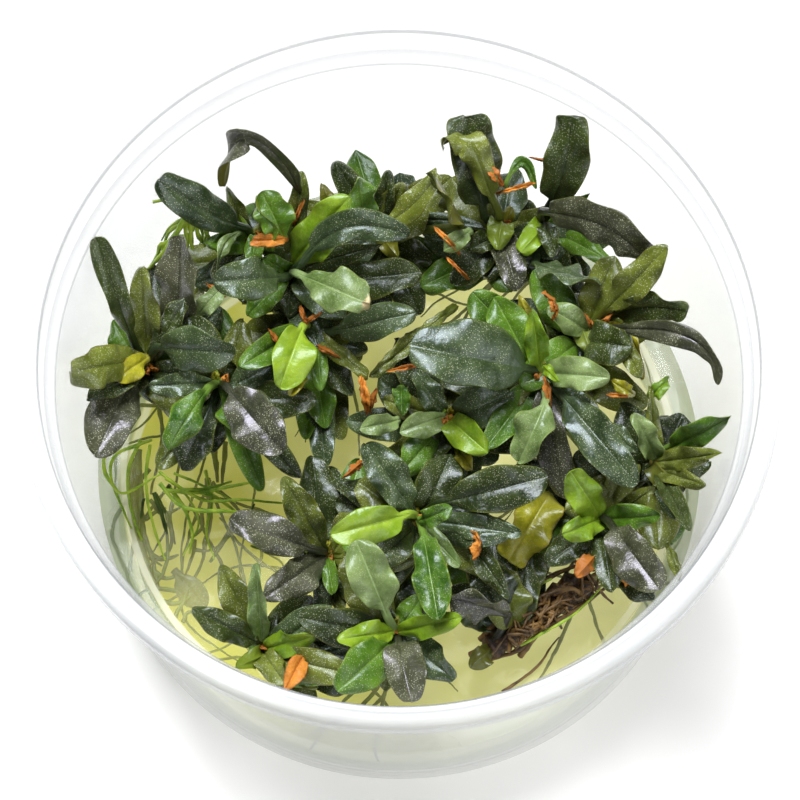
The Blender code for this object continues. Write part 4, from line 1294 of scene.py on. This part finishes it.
@dataclass(frozen=True)
class GelFinish:
    """Nutrient gel: yellow, clear on top and cloudy below, with a paler band along the wall, and a painted
    glow in its own colour that lights it in the shade between the leaves.
    """

    base: Colour = (0.60, 0.585, 0.095)
    light: Colour = (0.92, 0.90, 0.46)
    band: Colour = (0.38, 0.43, 0.27)
    line: Colour = (0.82, 0.82, 0.55)
    clear: float = 0.20
    # glow: painted light, emitted in the gel's own colour as if light scattered through it
    glow: float = 0.30

    def material(self) -> bpy.types.Material:
        """Node material on object coordinates."""
        sketch = Sketch("nutrient_gel")
        clouds = sketch.noise(70.0, 3.0)
        column, row, height = sketch.split(sketch.place())
        paler = sketch.ramp(column, -0.030, 0.020, 0.0, 0.65)
        paler = sketch.plus(paler, sketch.ramp(clouds, 0.35, 0.7, 0.0, 0.35))
        colour = sketch.mix(paler, self.base, self.light)
        flat = sketch.maths("SQRT", sketch.plus(sketch.maths("POWER", column, 2.0),
                                                sketch.maths("POWER", row, 2.0)))
        flat = sketch.plus(flat, sketch.times(clouds, 0.0006))
        band = sketch.ramp(flat, 0.0391, 0.0397)
        line = sketch.times(sketch.ramp(flat, 0.0381, 0.0385), sketch.ramp(flat, 0.0391, 0.0396, 1.0, 0.0))
        colour = sketch.mix(line, sketch.mix(band, colour, self.band), self.line)
        cloudy = sketch.ramp(sketch.noise(110.0, 2.0), 0.3, 0.7, self.clear - 0.06, self.clear + 0.06)
        alpha = sketch.plus(cloudy, sketch.ramp(height, 0.0014, 0.0019, 1.0, 0.0))
        alpha = sketch.plus(alpha, sketch.times(sketch.maths("MAXIMUM", line, band), 0.3))
        # The emission is painted light: it brightens the gel where the leaves shade it.
        return sketch.finish(Base_Color=colour, Alpha=sketch.maths("MINIMUM", alpha, 1.0), Roughness=0.12,
                             IOR=1.34, Emission_Color=colour, Emission_Strength=self.glow,
                             Normal=sketch.bump(sketch.noise(160.0, 3.0), 0.0004, 0.5))


@dataclass(frozen=True)
class GrainFinish:
    """Plain mottled skin for roots and bubbles."""

    name: str
    base: Colour
    light: Colour
    scale: float
    depth: float = 0.0001
    roughness: float = 0.45
    alpha: float = 1.0

    def material(self) -> bpy.types.Material:
        """Node material on object coordinates."""
        sketch = Sketch(self.name)
        clouds = sketch.noise(self.scale * 0.4, 3.0)
        fine = sketch.noise(self.scale * 3.0, 3.0)
        colour = sketch.mix(sketch.ramp(clouds, 0.35, 0.65), self.base, self.light)
        colour = sketch.mix(sketch.ramp(fine, 0.35, 0.7, 0.0, 0.4), colour, self.light)
        return sketch.finish(Base_Color=colour, Roughness=self.roughness, Alpha=self.alpha,
                             Normal=sketch.bump(fine, self.depth))


def turned(name: str, outline: Sequence[tuple[float, float]], sides: int, material: bpy.types.Material,
           marks: Sequence[tuple[str, Sequence[float]]] = (),
           shift: Optional[Callable[[np.ndarray], np.ndarray]] = None) -> bpy.types.Object:
    """Turn an outline about the cup's axis.

    Args:
        name: the piece's name.
        outline: radius and height pairs, from the middle of the underside round to the middle of the
            top, in millimetres.
        sides: points round the axis.
        material: its finish.
        marks: attributes, each as a name and a value for each point of the outline.
        shift: function that moves the points.

    Returns:
        The object.
    """
    turns = FULL_TURN * np.arange(sides) / sides
    radii, heights = np.array(outline[1:-1]).T[:, :, None]
    rings = np.stack(np.broadcast_arrays(radii * np.cos(turns), radii * np.sin(turns), heights), -1)
    poles = np.array([(0.0, 0.0, outline[0][1]), (0.0, 0.0, outline[-1][1])])
    points = np.concatenate([rings.reshape(-1, 3), poles])
    if shift:
        points = shift(points)
    faces = ring_faces(len(radii), sides)
    last = (len(radii) - 1) * sides
    for side in range(sides):
        after = (side + 1) % sides
        faces.append((len(points) - 2, after, side))
        faces.append((len(points) - 1, last + side, last + after))
    mesh = bpy.data.meshes.new(name)
    mesh.from_pydata((points * MM).tolist(), [], faces)
    mesh.polygons.foreach_set("use_smooth", [True] * len(faces))
    for key, values in marks:
        mark_points(mesh, key, [*np.repeat(values[1:-1], sides), values[0], values[-1]])
    mesh.materials.append(material)
    mesh.update()
    mesh.set_sharp_from_angle(angle=math.radians(50.0))
    return linked(name, mesh)


def arc(radius: float, height: float, size: float, start: float, end: float) -> list[tuple[float, float]]:
    """Points of a round corner about a centre, between two angles in degrees."""
    angles = np.radians(np.linspace(start, end, 5))
    return [(radius + size * math.cos(turn), height + size * math.sin(turn)) for turn in angles]


@dataclass(frozen=True)
class Cup:
    """The thin turned tub with its stepped collar and rolled rim."""

    height: float = 56.0
    rim_radius: float = 50.5
    rim_skirt: float = 2.8
    rim_round: float = 0.7
    mouth_radius: float = 47.35
    shoulder_height: float = 49.5
    shoulder_radius: float = 45.5
    shoulder_step: float = 1.4
    base_radius: float = 41.6
    foot_round: float = 1.3
    wall: float = 0.8
    sides: int = 160

    def inner_radius(self, height: float) -> float:
        """Inside radius of the body wall at a height."""
        inner_base = self.base_radius - self.wall
        return inner_base + (self.shoulder_radius - inner_base) * height / self.shoulder_height

    def outline(self) -> list[tuple[float, float, float, float]]:
        """Half section as radius, height, crease (share of painted dark line of shade) and milkiness, from
        the underside's middle.
        """
        top, wall, mouth, rim = self.height, self.wall, self.mouth_radius, self.rim_radius
        shoulder, ledge = self.shoulder_radius, self.shoulder_height
        collar_foot = ledge + self.shoulder_step
        collar = mouth - 0.3
        skirt_foot = top - self.rim_skirt
        skirt = rim - wall
        # The third value of each point is its crease: the share of painted dark line of shade there.
        body = [(radius, 0.3, 0.0, 0.1) for radius in (0.0, 10.0, 20.0, 30.0, 37.0)]
        body += [(38.2, 0.0, 0.1, 0.2)]
        foot = arc(self.base_radius - self.foot_round, self.foot_round, self.foot_round, -90, 0)
        body += [(*pair, 0.15, 0.3) for pair in foot]
        for height in np.linspace(4.0, ledge - 2.0, 12):
            body.append((self.inner_radius(height) + wall, height, 0.0, 0.0))
        body += [
            (shoulder + wall, ledge - 0.3, 0.3, 0.2),
            (collar + wall - 0.2, collar_foot - 0.2, 0.3, 0.2),
            (collar + wall, collar_foot + 0.3, 0.0, 0.1),
            (mouth + wall, top - wall - 0.4, 0.1, 0.3),
            (skirt - 0.2, top - wall - 0.4, 0.1, 0.3),
            (skirt, skirt_foot + 0.2, 0.0, 0.3),
            (skirt + 0.2, skirt_foot, 0.2, 0.5),
            (rim - 0.2, skirt_foot, 0.2, 0.5),
            (rim, skirt_foot + 0.25, 0.1, 0.4),
            (rim, top - self.rim_round - 0.8, 0.0, 0.35),
        ]
        rolled = arc(rim - self.rim_round, top - self.rim_round, self.rim_round, 0, 90)
        body += [(*pair, 0.0, 0.5) for pair in rolled]
        body += [
            (rim - 1.5, top - 0.05, 0.0, 0.5),
            (mouth + 1.0, top - 0.05, 0.0, 0.5),
            (mouth + 0.4, top - 0.02, 0.0, 0.5),
            (mouth + 0.12, top - 0.14, 0.9, 0.6),
            (mouth, top - 0.45, 0.9, 0.6),
            (mouth - 0.03, top - 0.8, 0.0, 0.3),
            (collar + 0.02, collar_foot + 0.5, 0.0, 0.25),
            (collar - 0.1, collar_foot, 0.7, 0.5),
            (shoulder + 0.3, ledge + 0.15, 0.1, 0.35),
            (shoulder, ledge - 0.15, 0.8, 0.6),
            (shoulder - 0.06, ledge - 0.6, 0.0, 0.1),
        ]
        for height in np.linspace(ledge - 2.0, 5.0, 12):
            body.append((self.inner_radius(height), height, 0.0, 0.0))
        floor = wall + self.foot_round
        inner = arc(self.inner_radius(floor) - self.foot_round, floor, self.foot_round, 0, -90)
        body += [(*pair, 0.1, 0.2) for pair in inner]
        body += [(radius, wall, 0.0, 0.1) for radius in (36.0, 27.0, 18.0, 9.0, 0.0)]
        return body

    def build(self) -> None:
        """Make the cup."""
        outline = self.outline()
        # crease carries the painted dark lines of shade along the steps.
        marks = (("crease", [point[2] for point in outline]), ("milky", [point[3] for point in outline]))
        piece = turned("moulded_cup", [point[:2] for point in outline], self.sides,
                       CupFinish().material(), marks)
        hand_in(piece, "cup", "cup")


@dataclass(frozen=True)
class Gel:
    """The disc of gel: level, with faint dimples, and creeping up the wall at its edge."""

    top: float = 15.0
    creep: float = 0.7
    creep_width: float = 1.6
    gap: float = 0.3
    sides: int = 144

    def uneven(self, points: np.ndarray) -> np.ndarray:
        """Raise and lower the top a little, away from the wall."""
        moved = points.copy()
        flat = np.hypot(points[:, 0], points[:, 1])
        on_top = (points[:, 2] > self.top - 0.2) & (flat < CUP.inner_radius(self.top) - 3.0)
        wave = np.sin(points[:, 0] * 0.31 + 1.1) * np.sin(points[:, 1] * 0.27 + 0.4)
        wave = wave + 0.6 * np.sin(points[:, 0] * 0.83 + points[:, 1] * 0.55)
        moved[on_top, 2] += 0.10 * wave[on_top] - 0.05
        return moved

    def build(self) -> None:
        """Make the gel."""
        floor = CUP.wall + self.gap
        edge = CUP.inner_radius(self.top) - self.gap
        foot = CUP.inner_radius(floor) - CUP.foot_round - self.gap
        outline = [(radius, floor) for radius in (0.0, 14.0, 28.0, foot)]
        for height in (floor + CUP.foot_round, 6.0, 10.0, self.top + self.creep):
            outline.append((CUP.inner_radius(height) - self.gap, height))
        for away, rise in ((0.25, 0.45), (0.55, 0.14), (1.0, 0.0)):
            outline.append((edge - away * self.creep_width, self.top + rise * self.creep))
        outline += [(radius, self.top) for radius in (*np.linspace(38.0, 2.0, 22), 0.0)]
        piece = turned("gel_disc", outline, self.sides, GelFinish().material(), shift=self.uneven)
        hand_in(piece, "gel", "nutrient_gel")


CUP = Cup()
GEL = Gel()


class Grower(Wiring):
    """A Geometry Nodes tree under construction, with named sizes."""

    def __init__(self, name: str) -> None:
        """Start a tree with one geometry input and one geometry output."""
        super().__init__(bpy.data.node_groups.new(name, "GeometryNodeTree"))
        for way in ("INPUT", "OUTPUT"):
            self.tree.interface.new_socket("Geometry", in_out=way, socket_type="NodeSocketGeometry")
        self.entry = self.tree.nodes.new("NodeGroupInput")
        self.leave = self.tree.nodes.new("NodeGroupOutput")
        self.keys: dict[str, str] = {}

    def size(self, name: str, value: float) -> bpy.types.NodeSocket:
        """Add a named number to the tree's inputs and give the socket that reads it."""
        made = self.tree.interface.new_socket(name, in_out="INPUT", socket_type="NodeSocketFloat")
        made.default_value = value
        self.keys[name] = made.identifier
        return self.entry.outputs[name]

    def close(self, geometry: bpy.types.NodeSocket, material: bpy.types.Material) -> None:
        """End the tree: real geometry in one material."""
        real = self.add("GeometryNodeRealizeInstances", Geometry=geometry)
        dressed = self.add("GeometryNodeSetMaterial", Geometry=real.outputs[0], Material=material)
        self.tree.links.new(dressed.outputs[0], self.leave.inputs[0])

    def apply(self, source: bpy.types.Object, name: str, **sizes: float) -> bpy.types.Object:
        """Run the tree on an object and keep only the mesh that it makes.

        Args:
            source: object that the tree reads; it is removed.
            name: name of the new piece.
            **sizes: values for the tree's named sizes, with _ for a space.

        Returns:
            The new piece.
        """
        modifier = source.modifiers.new("Grow", "NODES")
        modifier.node_group = self.tree
        for key, value in sizes.items():
            modifier[self.keys[key.replace("_", " ")]] = value
        graph = bpy.context.evaluated_depsgraph_get()
        mesh = bpy.data.meshes.new_from_object(source.evaluated_get(graph))
        mesh.name = name
        bpy.data.objects.remove(source, do_unlink=True)
        mesh.polygons.foreach_set("use_smooth", [True] * len(mesh.polygons))
        return linked(name, mesh)


@dataclass(frozen=True)
class Root:
    """One root: pixels and heights that it passes, and its half thickness in millimetres."""

    marks: tuple[Pixel, ...]
    girth: float


def kept_inside(place: Vector, room: float, floor: float) -> Vector:
    """Nearest place that stays a room away from the cup's wall and above a floor."""
    limit = CUP.inner_radius(place.z) - room
    flat = math.hypot(place.x, place.y)
    if flat > limit:
        place.x, place.y = place.x * limit / flat, place.y * limit / flat
    place.z = max(place.z, floor)
    return place


@dataclass(frozen=True)
class Fan:
    """A spray of roots from one place to chance places in a box of pixels, sagging or arching."""

    source: Pixel
    low: Pixel
    high: Pixel
    count: int
    arch: float
    girth: float
    spread: float = 1.5

    def routes(self, seed: int) -> list[tuple[list[Vector], float]]:
        """Marks and half thickness of each root."""
        dice = random.Random(seed)
        made = []
        for _ in range(self.count):
            start = CAMERA.at_pixel(*self.source)
            start += Vector([dice.uniform(-self.spread, self.spread) for _ in range(3)])
            pixel = [dice.uniform(least, most) for least, most in zip(self.low, self.high)]
            end = CAMERA.at_pixel(*pixel)
            chord = end - start
            aside = Vector((-chord.y, chord.x, 0.0)) * dice.uniform(-0.35, 0.35)
            rise = Vector((0.0, 0.0, self.arch * dice.uniform(0.3, 1.2)))
            marks = [start, start + chord * 0.35 + aside * 0.8 + rise,
                     start + chord * 0.7 + aside + rise * 0.6, end]
            marks = [kept_inside(mark, 1.0, 2.2) for mark in marks]
            made.append((marks, self.girth * dice.uniform(0.7, 1.3)))
        return made


class Roots:
    """Roots that hang in the air, creep over the gel or run inside it, grown along their routes."""

    def __init__(self, name: str, finish: GrainFinish, wander: float) -> None:
        """Build the tree that turns a route into a thin, wandering, tapered tube."""
        self.name = name
        self.wander = wander
        self.grower = Grower(name)
        self.routes: list[tuple[np.ndarray, float]] = []
        grower = self.grower
        spacing = grower.size("Spacing", 0.0006)
        shake = grower.size("Wander", 0.0)
        thickness = grower.size("Thickness", 1.0)
        curve = grower.add("GeometryNodeMeshToCurve", Mesh=grower.entry.outputs["Geometry"])
        even = grower.add("GeometryNodeResampleCurve", {"mode": "LENGTH"}, Curve=curve.outputs[0],
                          Length=spacing)
        noise = grower.add("ShaderNodeTexNoise", Scale=260.0, Detail=2.0)
        centred = grower.fill(grower.add("ShaderNodeVectorMath", {"operation": "SUBTRACT"}),
                              noise.outputs["Color"], (0.5, 0.5, 0.5))
        offset = grower.add("ShaderNodeVectorMath", {"operation": "SCALE"}, Scale=shake)
        moved = grower.add("GeometryNodeSetPosition", Geometry=even.outputs[0],
                           Offset=grower.fill(offset, centred))
        girth = grower.add("GeometryNodeInputNamedAttribute", {"data_type": "FLOAT"}, Name="girth")
        knots = grower.add("ShaderNodeTexNoise", Scale=700.0, Detail=1.0)
        lumps = grower.fill(grower.add("ShaderNodeMapRange"), knots.outputs["Fac"], 0.3, 0.7, 0.8, 1.25)
        reach = grower.times(grower.times(girth.outputs[0], lumps), thickness)
        ring = grower.add("GeometryNodeCurvePrimitiveCircle", Resolution=8, Radius=1.0)
        tube = grower.add("GeometryNodeCurveToMesh", Curve=moved.outputs[0],
                          Profile_Curve=ring.outputs[0], Scale=reach, Fill_Caps=True)
        grower.close(tube.outputs[0], finish.material())

    def add(self, marks: Sequence[Vector], girth: float) -> None:
        """Add a root through places, with its half thickness."""
        self.routes.append((spline(marks, 24), girth))

    def gather(self, roots: Sequence[Root], fans: Sequence[Fan] = (), seed: int = 0) -> None:
        """Add roots that are given by pixels, then those of some fans.

        Args:
            roots: the single roots.
            fans: the sprays.
            seed: seed of the first spray; each next one has the next number.
        """
        for root in roots:
            self.add(places(root.marks), root.girth)
        for number, fan in enumerate(fans):
            for marks, girth in fan.routes(seed + number):
                self.add(marks, girth)

    def build(self) -> None:
        """Make the piece."""
        points = []
        edges = []
        girths = []
        for route, girth in self.routes:
            first = len(points)
            points += (route * MM).tolist()
            edges += [(first + step, first + step + 1) for step in range(len(route) - 1)]
            taper = np.sqrt(np.clip(1.02 - np.linspace(0.0, 1.0, len(route)), 0.03, 1.0))
            girths += (girth * MM * (0.35 + 0.65 * taper)).tolist()
        mesh = bpy.data.meshes.new(self.name)
        mesh.from_pydata(points, edges, [])
        mark_points(mesh, "girth", girths)
        source = linked(self.name + "_routes", mesh)
        hand_in(self.grower.apply(source, self.name, Wander=self.wander * MM), "root")


GREEN_ROOT = GrainFinish("green_root", (0.14, 0.30, 0.006), (0.40, 0.55, 0.035), 1200.0)
GEL_ROOT = GrainFinish("gel_root", (0.012, 0.035, 0.001), (0.07, 0.12, 0.006), 1200.0)
BROWN_ROOT = GrainFinish("brown_root", (0.035, 0.016, 0.004), (0.20, 0.11, 0.03), 1500.0)
BUBBLE = GrainFinish("bubble_skin", (0.78, 0.80, 0.74), (0.95, 0.96, 0.94), 900.0, 0.00005, 0.1, 0.75)

AIR_FANS = (
    Fan((199, 218, 36), (156, 226, 31), (180, 262, 31), 4, 1.0, 0.28),
    Fan((204, 222, 35), (186, 240, 31), (214, 262, 31), 3, 0.5, 0.28),
    Fan((165, 480, 22), (105, 500, 15), (235, 560, 16), 2, 1.2, 0.26),
    Fan((165, 485, 22), (230, 478, 19), (300, 520, 20), 2, 0.6, 0.26),
)
GEL_FANS = (
    Fan((150, 480, 13), (118, 560, 9), (175, 640, 13), 7, -1.0, 0.26, 4.0),
    Fan((200, 480, 13), (150, 600, 9), (260, 680, 13), 6, -1.0, 0.24, 5.0),
    Fan((230, 520, 13), (180, 560, 9), (330, 640, 12), 5, -1.0, 0.24, 5.0),
    Fan((650, 470, 13), (640, 400, 6), (700, 600, 13), 8, -0.5, 0.2, 3.0),
)
GEL_ROOTS = (
    Root(((207, 478, 13), (209, 505, 12.5), (209, 530, 12.5), (205, 543, 12.5), (203, 560, 12)), 0.42),
    Root(((200, 508, 13), (203, 525, 13), (196, 534, 13), (189, 538, 12.5)), 0.26),
    Root(((234, 528, 13), (222, 543, 12.5), (210, 562, 12)), 0.40),
    Root(((194, 549, 12.5), (207, 550, 12.5), (218, 546, 12.5)), 0.26),
    Root(((214, 446, 13), (216, 462, 13), (217, 482, 12.5)), 0.45),
    Root(((226, 442, 13), (224, 462, 13), (222, 484, 12.5)), 0.38),
    Root(((133, 458, 12), (133, 490, 12), (138, 530, 12), (146, 563, 12), (158, 594, 12),
          (170, 620, 12)), 0.62),
    Root(((138, 450, 12.5), (140, 490, 12.5), (143, 528, 12.5), (152, 560, 12.5), (160, 590, 12.5)), 0.5),
    Root(((130, 466, 12), (129, 500, 12), (134, 536, 12), (142, 572, 12), (156, 602, 12),
          (172, 626, 12)), 0.4),
    Root(((152, 556, 12.5), (160, 560, 12.5), (170, 559, 12.5), (178, 555, 12)), 0.34),
    Root(((155, 572, 12.5), (164, 579, 12.5), (174, 578, 12.5), (181, 571, 12)), 0.38),
    Root(((158, 588, 12.5), (170, 590, 12.5), (180, 593, 12.5), (189, 606, 12)), 0.34),
    Root(((162, 600, 12.5), (174, 603, 12.5), (184, 601, 12.5), (192, 595, 12)), 0.34),
    Root(((173, 628, 12.5), (176, 614, 12.5), (184, 602, 12.5), (191, 582, 12)), 0.36),
    Root(((183, 622, 12.5), (188, 613, 12.5), (195, 612, 12.5), (198, 620, 12)), 0.30),
    Root(((150, 500, 13), (160, 512, 13), (172, 512, 13), (182, 505, 12.5)), 0.34),
    Root(((146, 520, 13), (156, 512, 13), (166, 508, 13)), 0.32),
    Root(((172, 500, 13), (170, 516, 13), (172, 530, 13), (175, 545, 12.5)), 0.26),
)
AIR_ROOTS = (
    Root(((250, 235, 28), (224, 226, 34), (203, 216, 37), (188, 212, 38), (172, 201, 39),
          (153, 202, 39)), 0.44),
    Root(((212, 224, 35), (196, 215, 37), (184, 222, 37), (174, 238, 36), (163, 253, 34),
          (150, 267, 31)), 0.52),
    Root(((198, 216, 37), (182, 226, 36.5), (169, 242, 35), (160, 246, 34), (157, 257, 32),
          (149, 268, 30)), 0.40),
    Root(((207, 218, 36), (193, 221, 36.5), (191, 235, 35.5), (192, 249, 34)), 0.46),
    Root(((210, 219, 36), (199, 223, 36), (198, 235, 35), (205, 246, 33)), 0.40),
    Root(((214, 223, 35), (206, 231, 35), (212, 243, 34), (220, 255, 32)), 0.36),
    Root(((192, 217, 37), (186, 229, 36), (188, 243, 34.5), (184, 254, 32)), 0.34),
    Root(((150, 385, 22), (120, 420, 24), (103, 462, 26), (113, 485, 25), (125, 493, 24),
          (160, 475, 22)), 0.30),
    Root(((165, 490, 21), (200, 492, 21), (232, 486, 22), (262, 480, 21)), 0.30),
    Root(((160, 484, 22), (185, 508, 22), (230, 512, 21), (280, 517, 19)), 0.33),
    Root(((166, 478, 22), (205, 500, 21), (245, 500, 20), (300, 505, 18)), 0.26),
    Root(((170, 488, 21), (186, 512, 20), (192, 535, 18), (190, 553, 16)), 0.30),
    Root(((140, 440, 22), (128, 470, 21), (130, 505, 18), (142, 540, 15)), 0.26),
    Root(((150, 445, 22), (146, 480, 20), (152, 520, 17), (165, 560, 15)), 0.26),
    Root(((152, 440, 22), (120, 452, 22), (110, 470, 20), (118, 500, 17), (132, 528, 15)), 0.26),
    Root(((205, 470, 20), (212, 500, 18), (206, 530, 16), (214, 560, 14.5)), 0.23),
    Root(((510, 596, 21), (528, 590, 21.5), (552, 579, 21)), 0.33),
    Root(((520, 645, 20), (548, 630, 21), (575, 614, 21), (600, 588, 20)), 0.24),
)


def tangle(dice: random.Random, strands: int = 34) -> tuple[Root, ...]:
    """Fine strands that wind over the old rhizome.

    Args:
        dice: seeded source of the strands' places and thickness.
        strands: how many there are.

    Returns:
        Roots whose marks wander about the line from the rhizome's left end to its right end.
    """
    made = []
    for _ in range(strands):
        start = dice.uniform(-0.05, 0.65)
        stretch = dice.uniform(0.2, 0.4)
        marks = []
        for step in range(5):
            share = start + stretch * step / 4.0
            column = 494.0 + 108.0 * share + dice.uniform(-7.0, 7.0)
            row = 648.0 - 72.0 * share + dice.uniform(-17.0, 13.0)
            marks.append((column, row, dice.uniform(19.5, 22.4)))
        made.append(Root(tuple(marks), dice.uniform(0.15, 0.36)))
    return tuple(made)


BROWN_ROOTS = (
    Root(((502, 692, 15.4), (520, 680, 15.6), (538, 665, 15.6), (550, 648, 15.5),
          (560, 637, 15.4)), 0.22),
    Root(((470, 655, 17), (500, 640, 19.5), (540, 618, 20), (590, 600, 18)), 0.5),
    Root(((480, 640, 18), (505, 618, 20.5), (545, 600, 20.5), (600, 572, 18)), 0.5),
    Root(((486, 660, 17), (520, 648, 18.5), (560, 612, 20), (580, 590, 18)), 0.4),
    Root(((492, 632, 19), (530, 622, 21), (556, 588, 20), (575, 560, 17)), 0.4),
    Root(((500, 650, 17), (516, 622, 20), (540, 610, 21), (585, 588, 20), (612, 575, 18)), 0.45),
    Root(((475, 668, 16.5), (488, 650, 18), (498, 628, 19), (520, 600, 18)), 0.35),
    Root(((520, 655, 17), (540, 632, 20.5), (572, 612, 20), (604, 588, 18)), 0.42),
    Root(((515, 600, 19), (540, 584, 19.5), (565, 570, 19), (600, 560, 18)), 0.40),
    Root(((508, 640, 19), (528, 604, 21), (560, 590, 21), (590, 574, 20)), 0.36),
    Root(((530, 612, 21), (546, 618, 21), (560, 604, 21.3), (574, 606, 20.5)), 0.32),
    Root(((522, 588, 19), (536, 596, 21), (552, 610, 21), (562, 628, 18.5)), 0.34),
    Root(((576, 562, 18), (590, 576, 20), (600, 590, 19), (612, 604, 17)), 0.34),
    *tangle(random.Random(11)),
)


class RootSystem:
    """Every root of the clump, with those inside the gel spread by a rule."""

    def build(self) -> None:
        """Make the green, brown and gel roots."""
        green = Roots("green_roots", GREEN_ROOT, 0.5)
        green.gather(AIR_ROOTS, AIR_FANS, 20)
        green.build()
        brown = Roots("brown_roots", BROWN_ROOT, 0.7)
        brown.gather(BROWN_ROOTS)
        brown.build()
        inner = Roots("gel_roots", GEL_ROOT, 0.9)
        dice = random.Random(11)
        for shoot in SHOOTS:
            foot = CAMERA.at_pixel(*shoot.stem[-1])
            for _ in range(5):
                inner.add(*self.inside_gel(foot, dice))
        inner.gather(GEL_ROOTS, GEL_FANS, 40)
        inner.build()

    def inside_gel(self, foot: Vector, dice: random.Random) -> tuple[list[Vector], float]:
        """Marks and half thickness of a root that curls down through the gel from a foot."""
        turn = dice.uniform(0.0, FULL_TURN)
        reach = dice.uniform(8.0, 22.0)
        bend = dice.uniform(-1.1, 1.1)
        marks = []
        for share in (0.0, 0.25, 0.5, 0.75, 1.0):
            angle = turn + bend * share
            flat = Vector((foot.x, foot.y)) + Vector((math.cos(angle), math.sin(angle))) * reach * share
            height = GEL.top - 1.0 - (GEL.top - 4.0) * share ** 1.4 * dice.uniform(0.6, 1.0)
            limit = CUP.inner_radius(height) - 1.2
            if flat.length > limit:
                flat = flat * (limit / flat.length)
            marks.append(Vector((flat.x, flat.y, max(2.4, height))))
        return marks, dice.uniform(0.16, 0.34)


@dataclass(frozen=True)
class Bubbles:
    """Small air bubbles and white crumbs that sit in the top of the gel.

    Each patch of them is a pixel and a radius in millimetres.
    """

    density: float = 24000.0
    radius: float = 0.35
    patches: tuple[Pixel, ...] = (
        (598, 630, 2.4), (610, 622, 1.6), (138, 527, 2.6), (165, 540, 2.6), (230, 590, 3.2),
        (500, 690, 2.6), (560, 660, 3.0), (150, 590, 2.4), (250, 560, 2.6), (620, 600, 2.0),
    )

    def build(self) -> None:
        """Scatter little balls over patches of the gel's top."""
        grower = Grower("bubble_scatter")
        density = grower.size("Density", self.density)
        radius = grower.size("Radius", self.radius * MM)
        points = grower.add("GeometryNodeDistributePointsOnFaces", Mesh=grower.entry.outputs["Geometry"],
                            Density=density, Seed=5)
        ball = grower.add("GeometryNodeMeshIcoSphere", Radius=radius, Subdivisions=2)
        size = grower.add("FunctionNodeRandomValue", {"data_type": "FLOAT"}, Seed=8)
        grower.feed(size, 2, 0.35)
        grower.feed(size, 3, 1.5)
        balls = grower.add("GeometryNodeInstanceOnPoints", Points=points.outputs[0],
                           Instance=ball.outputs[0], Scale=size.outputs[1])
        grower.close(balls.outputs[0], BUBBLE.material())
        corners = []
        for column, row, reach in self.patches:
            middle = CAMERA.at_pixel(column, row, GEL.top)
            for turn in np.linspace(0.0, FULL_TURN, 9)[:-1]:
                corners.append(((middle.x + reach * math.cos(turn)) * MM,
                                (middle.y + reach * math.sin(turn)) * MM, GEL.top * MM))
        faces = [tuple(range(first, first + 8)) for first in range(0, len(corners), 8)]
        mesh = bpy.data.meshes.new("bubble_patches")
        mesh.from_pydata(corners, [], faces)
        hand_in(grower.apply(linked("bubble_patches", mesh), "gel_bubbles"), "gel")


@dataclass(frozen=True)
class Studio:
    """Plain pale floor and soft lamps."""

    floor_size: float = 3.0
    floor_glow: float = 0.31
    key_power: float = 12.6
    fill_power: float = 4.2
    world_light: float = 0.06

    def lamp(self, name: str, place: Vector, size: float, power: float, colour: Colour) -> None:
        """Add a square lamp that faces the cup, with its place and size in metres."""
        data = bpy.data.lights.new(name, "AREA")
        data.shape = "SQUARE"
        data.size = size
        data.energy = power
        data.color = colour
        lamp = linked(name, data)
        lamp.location = place
        aim = Vector((0.0, 0.0, 0.035)) - place
        lamp.rotation_euler = aim.to_track_quat("-Z", "Y").to_euler()

    def build(self) -> None:
        """Make the floor, the lamps and the world."""
        half = 0.5 * self.floor_size
        mesh = bpy.data.meshes.new("floor")
        corners = [(-half, -half, 0.0), (half, -half, 0.0), (half, half, 0.0), (-half, half, 0.0)]
        mesh.from_pydata(corners, [], [(0, 1, 2, 3)])
        sketch = Sketch("floor_paper")
        colour = sketch.mix(sketch.noise(60.0, 2.0), (0.80, 0.80, 0.80), (0.84, 0.84, 0.84))
        mesh.materials.append(sketch.finish(Base_Color=colour, Roughness=0.9, Emission_Color=(1.0, 1.0, 1.0),
                                            Emission_Strength=self.floor_glow))
        linked("floor", mesh)
        self.lamp("key_softbox", Vector((-0.12, 0.35, 0.74)), 0.44, self.key_power, (0.97, 0.985, 1.0))
        self.lamp("fill_softbox", Vector((0.50, -0.50, 0.50)), 0.70, self.fill_power, (1.0, 0.99, 0.97))
        world = bpy.data.worlds.new("studio")
        bpy.context.scene.world = world
        world.use_nodes = True
        back = world.node_tree.nodes["Background"]
        back.inputs["Color"].default_value = (1.0, 1.0, 1.0, 1.0)
        back.inputs["Strength"].default_value = self.world_light
        bpy.context.scene.view_settings.view_transform = "Standard"


def main() -> None:
    """Build every piece in order."""
    logging.basicConfig(level=logging.INFO, format="%(name)s %(message)s")
    for part in (CAMERA, Studio(), CUP, GEL, Clump(), RootSystem(), Bubbles()):
        part.build()


if __name__ == "__main__":
    main()
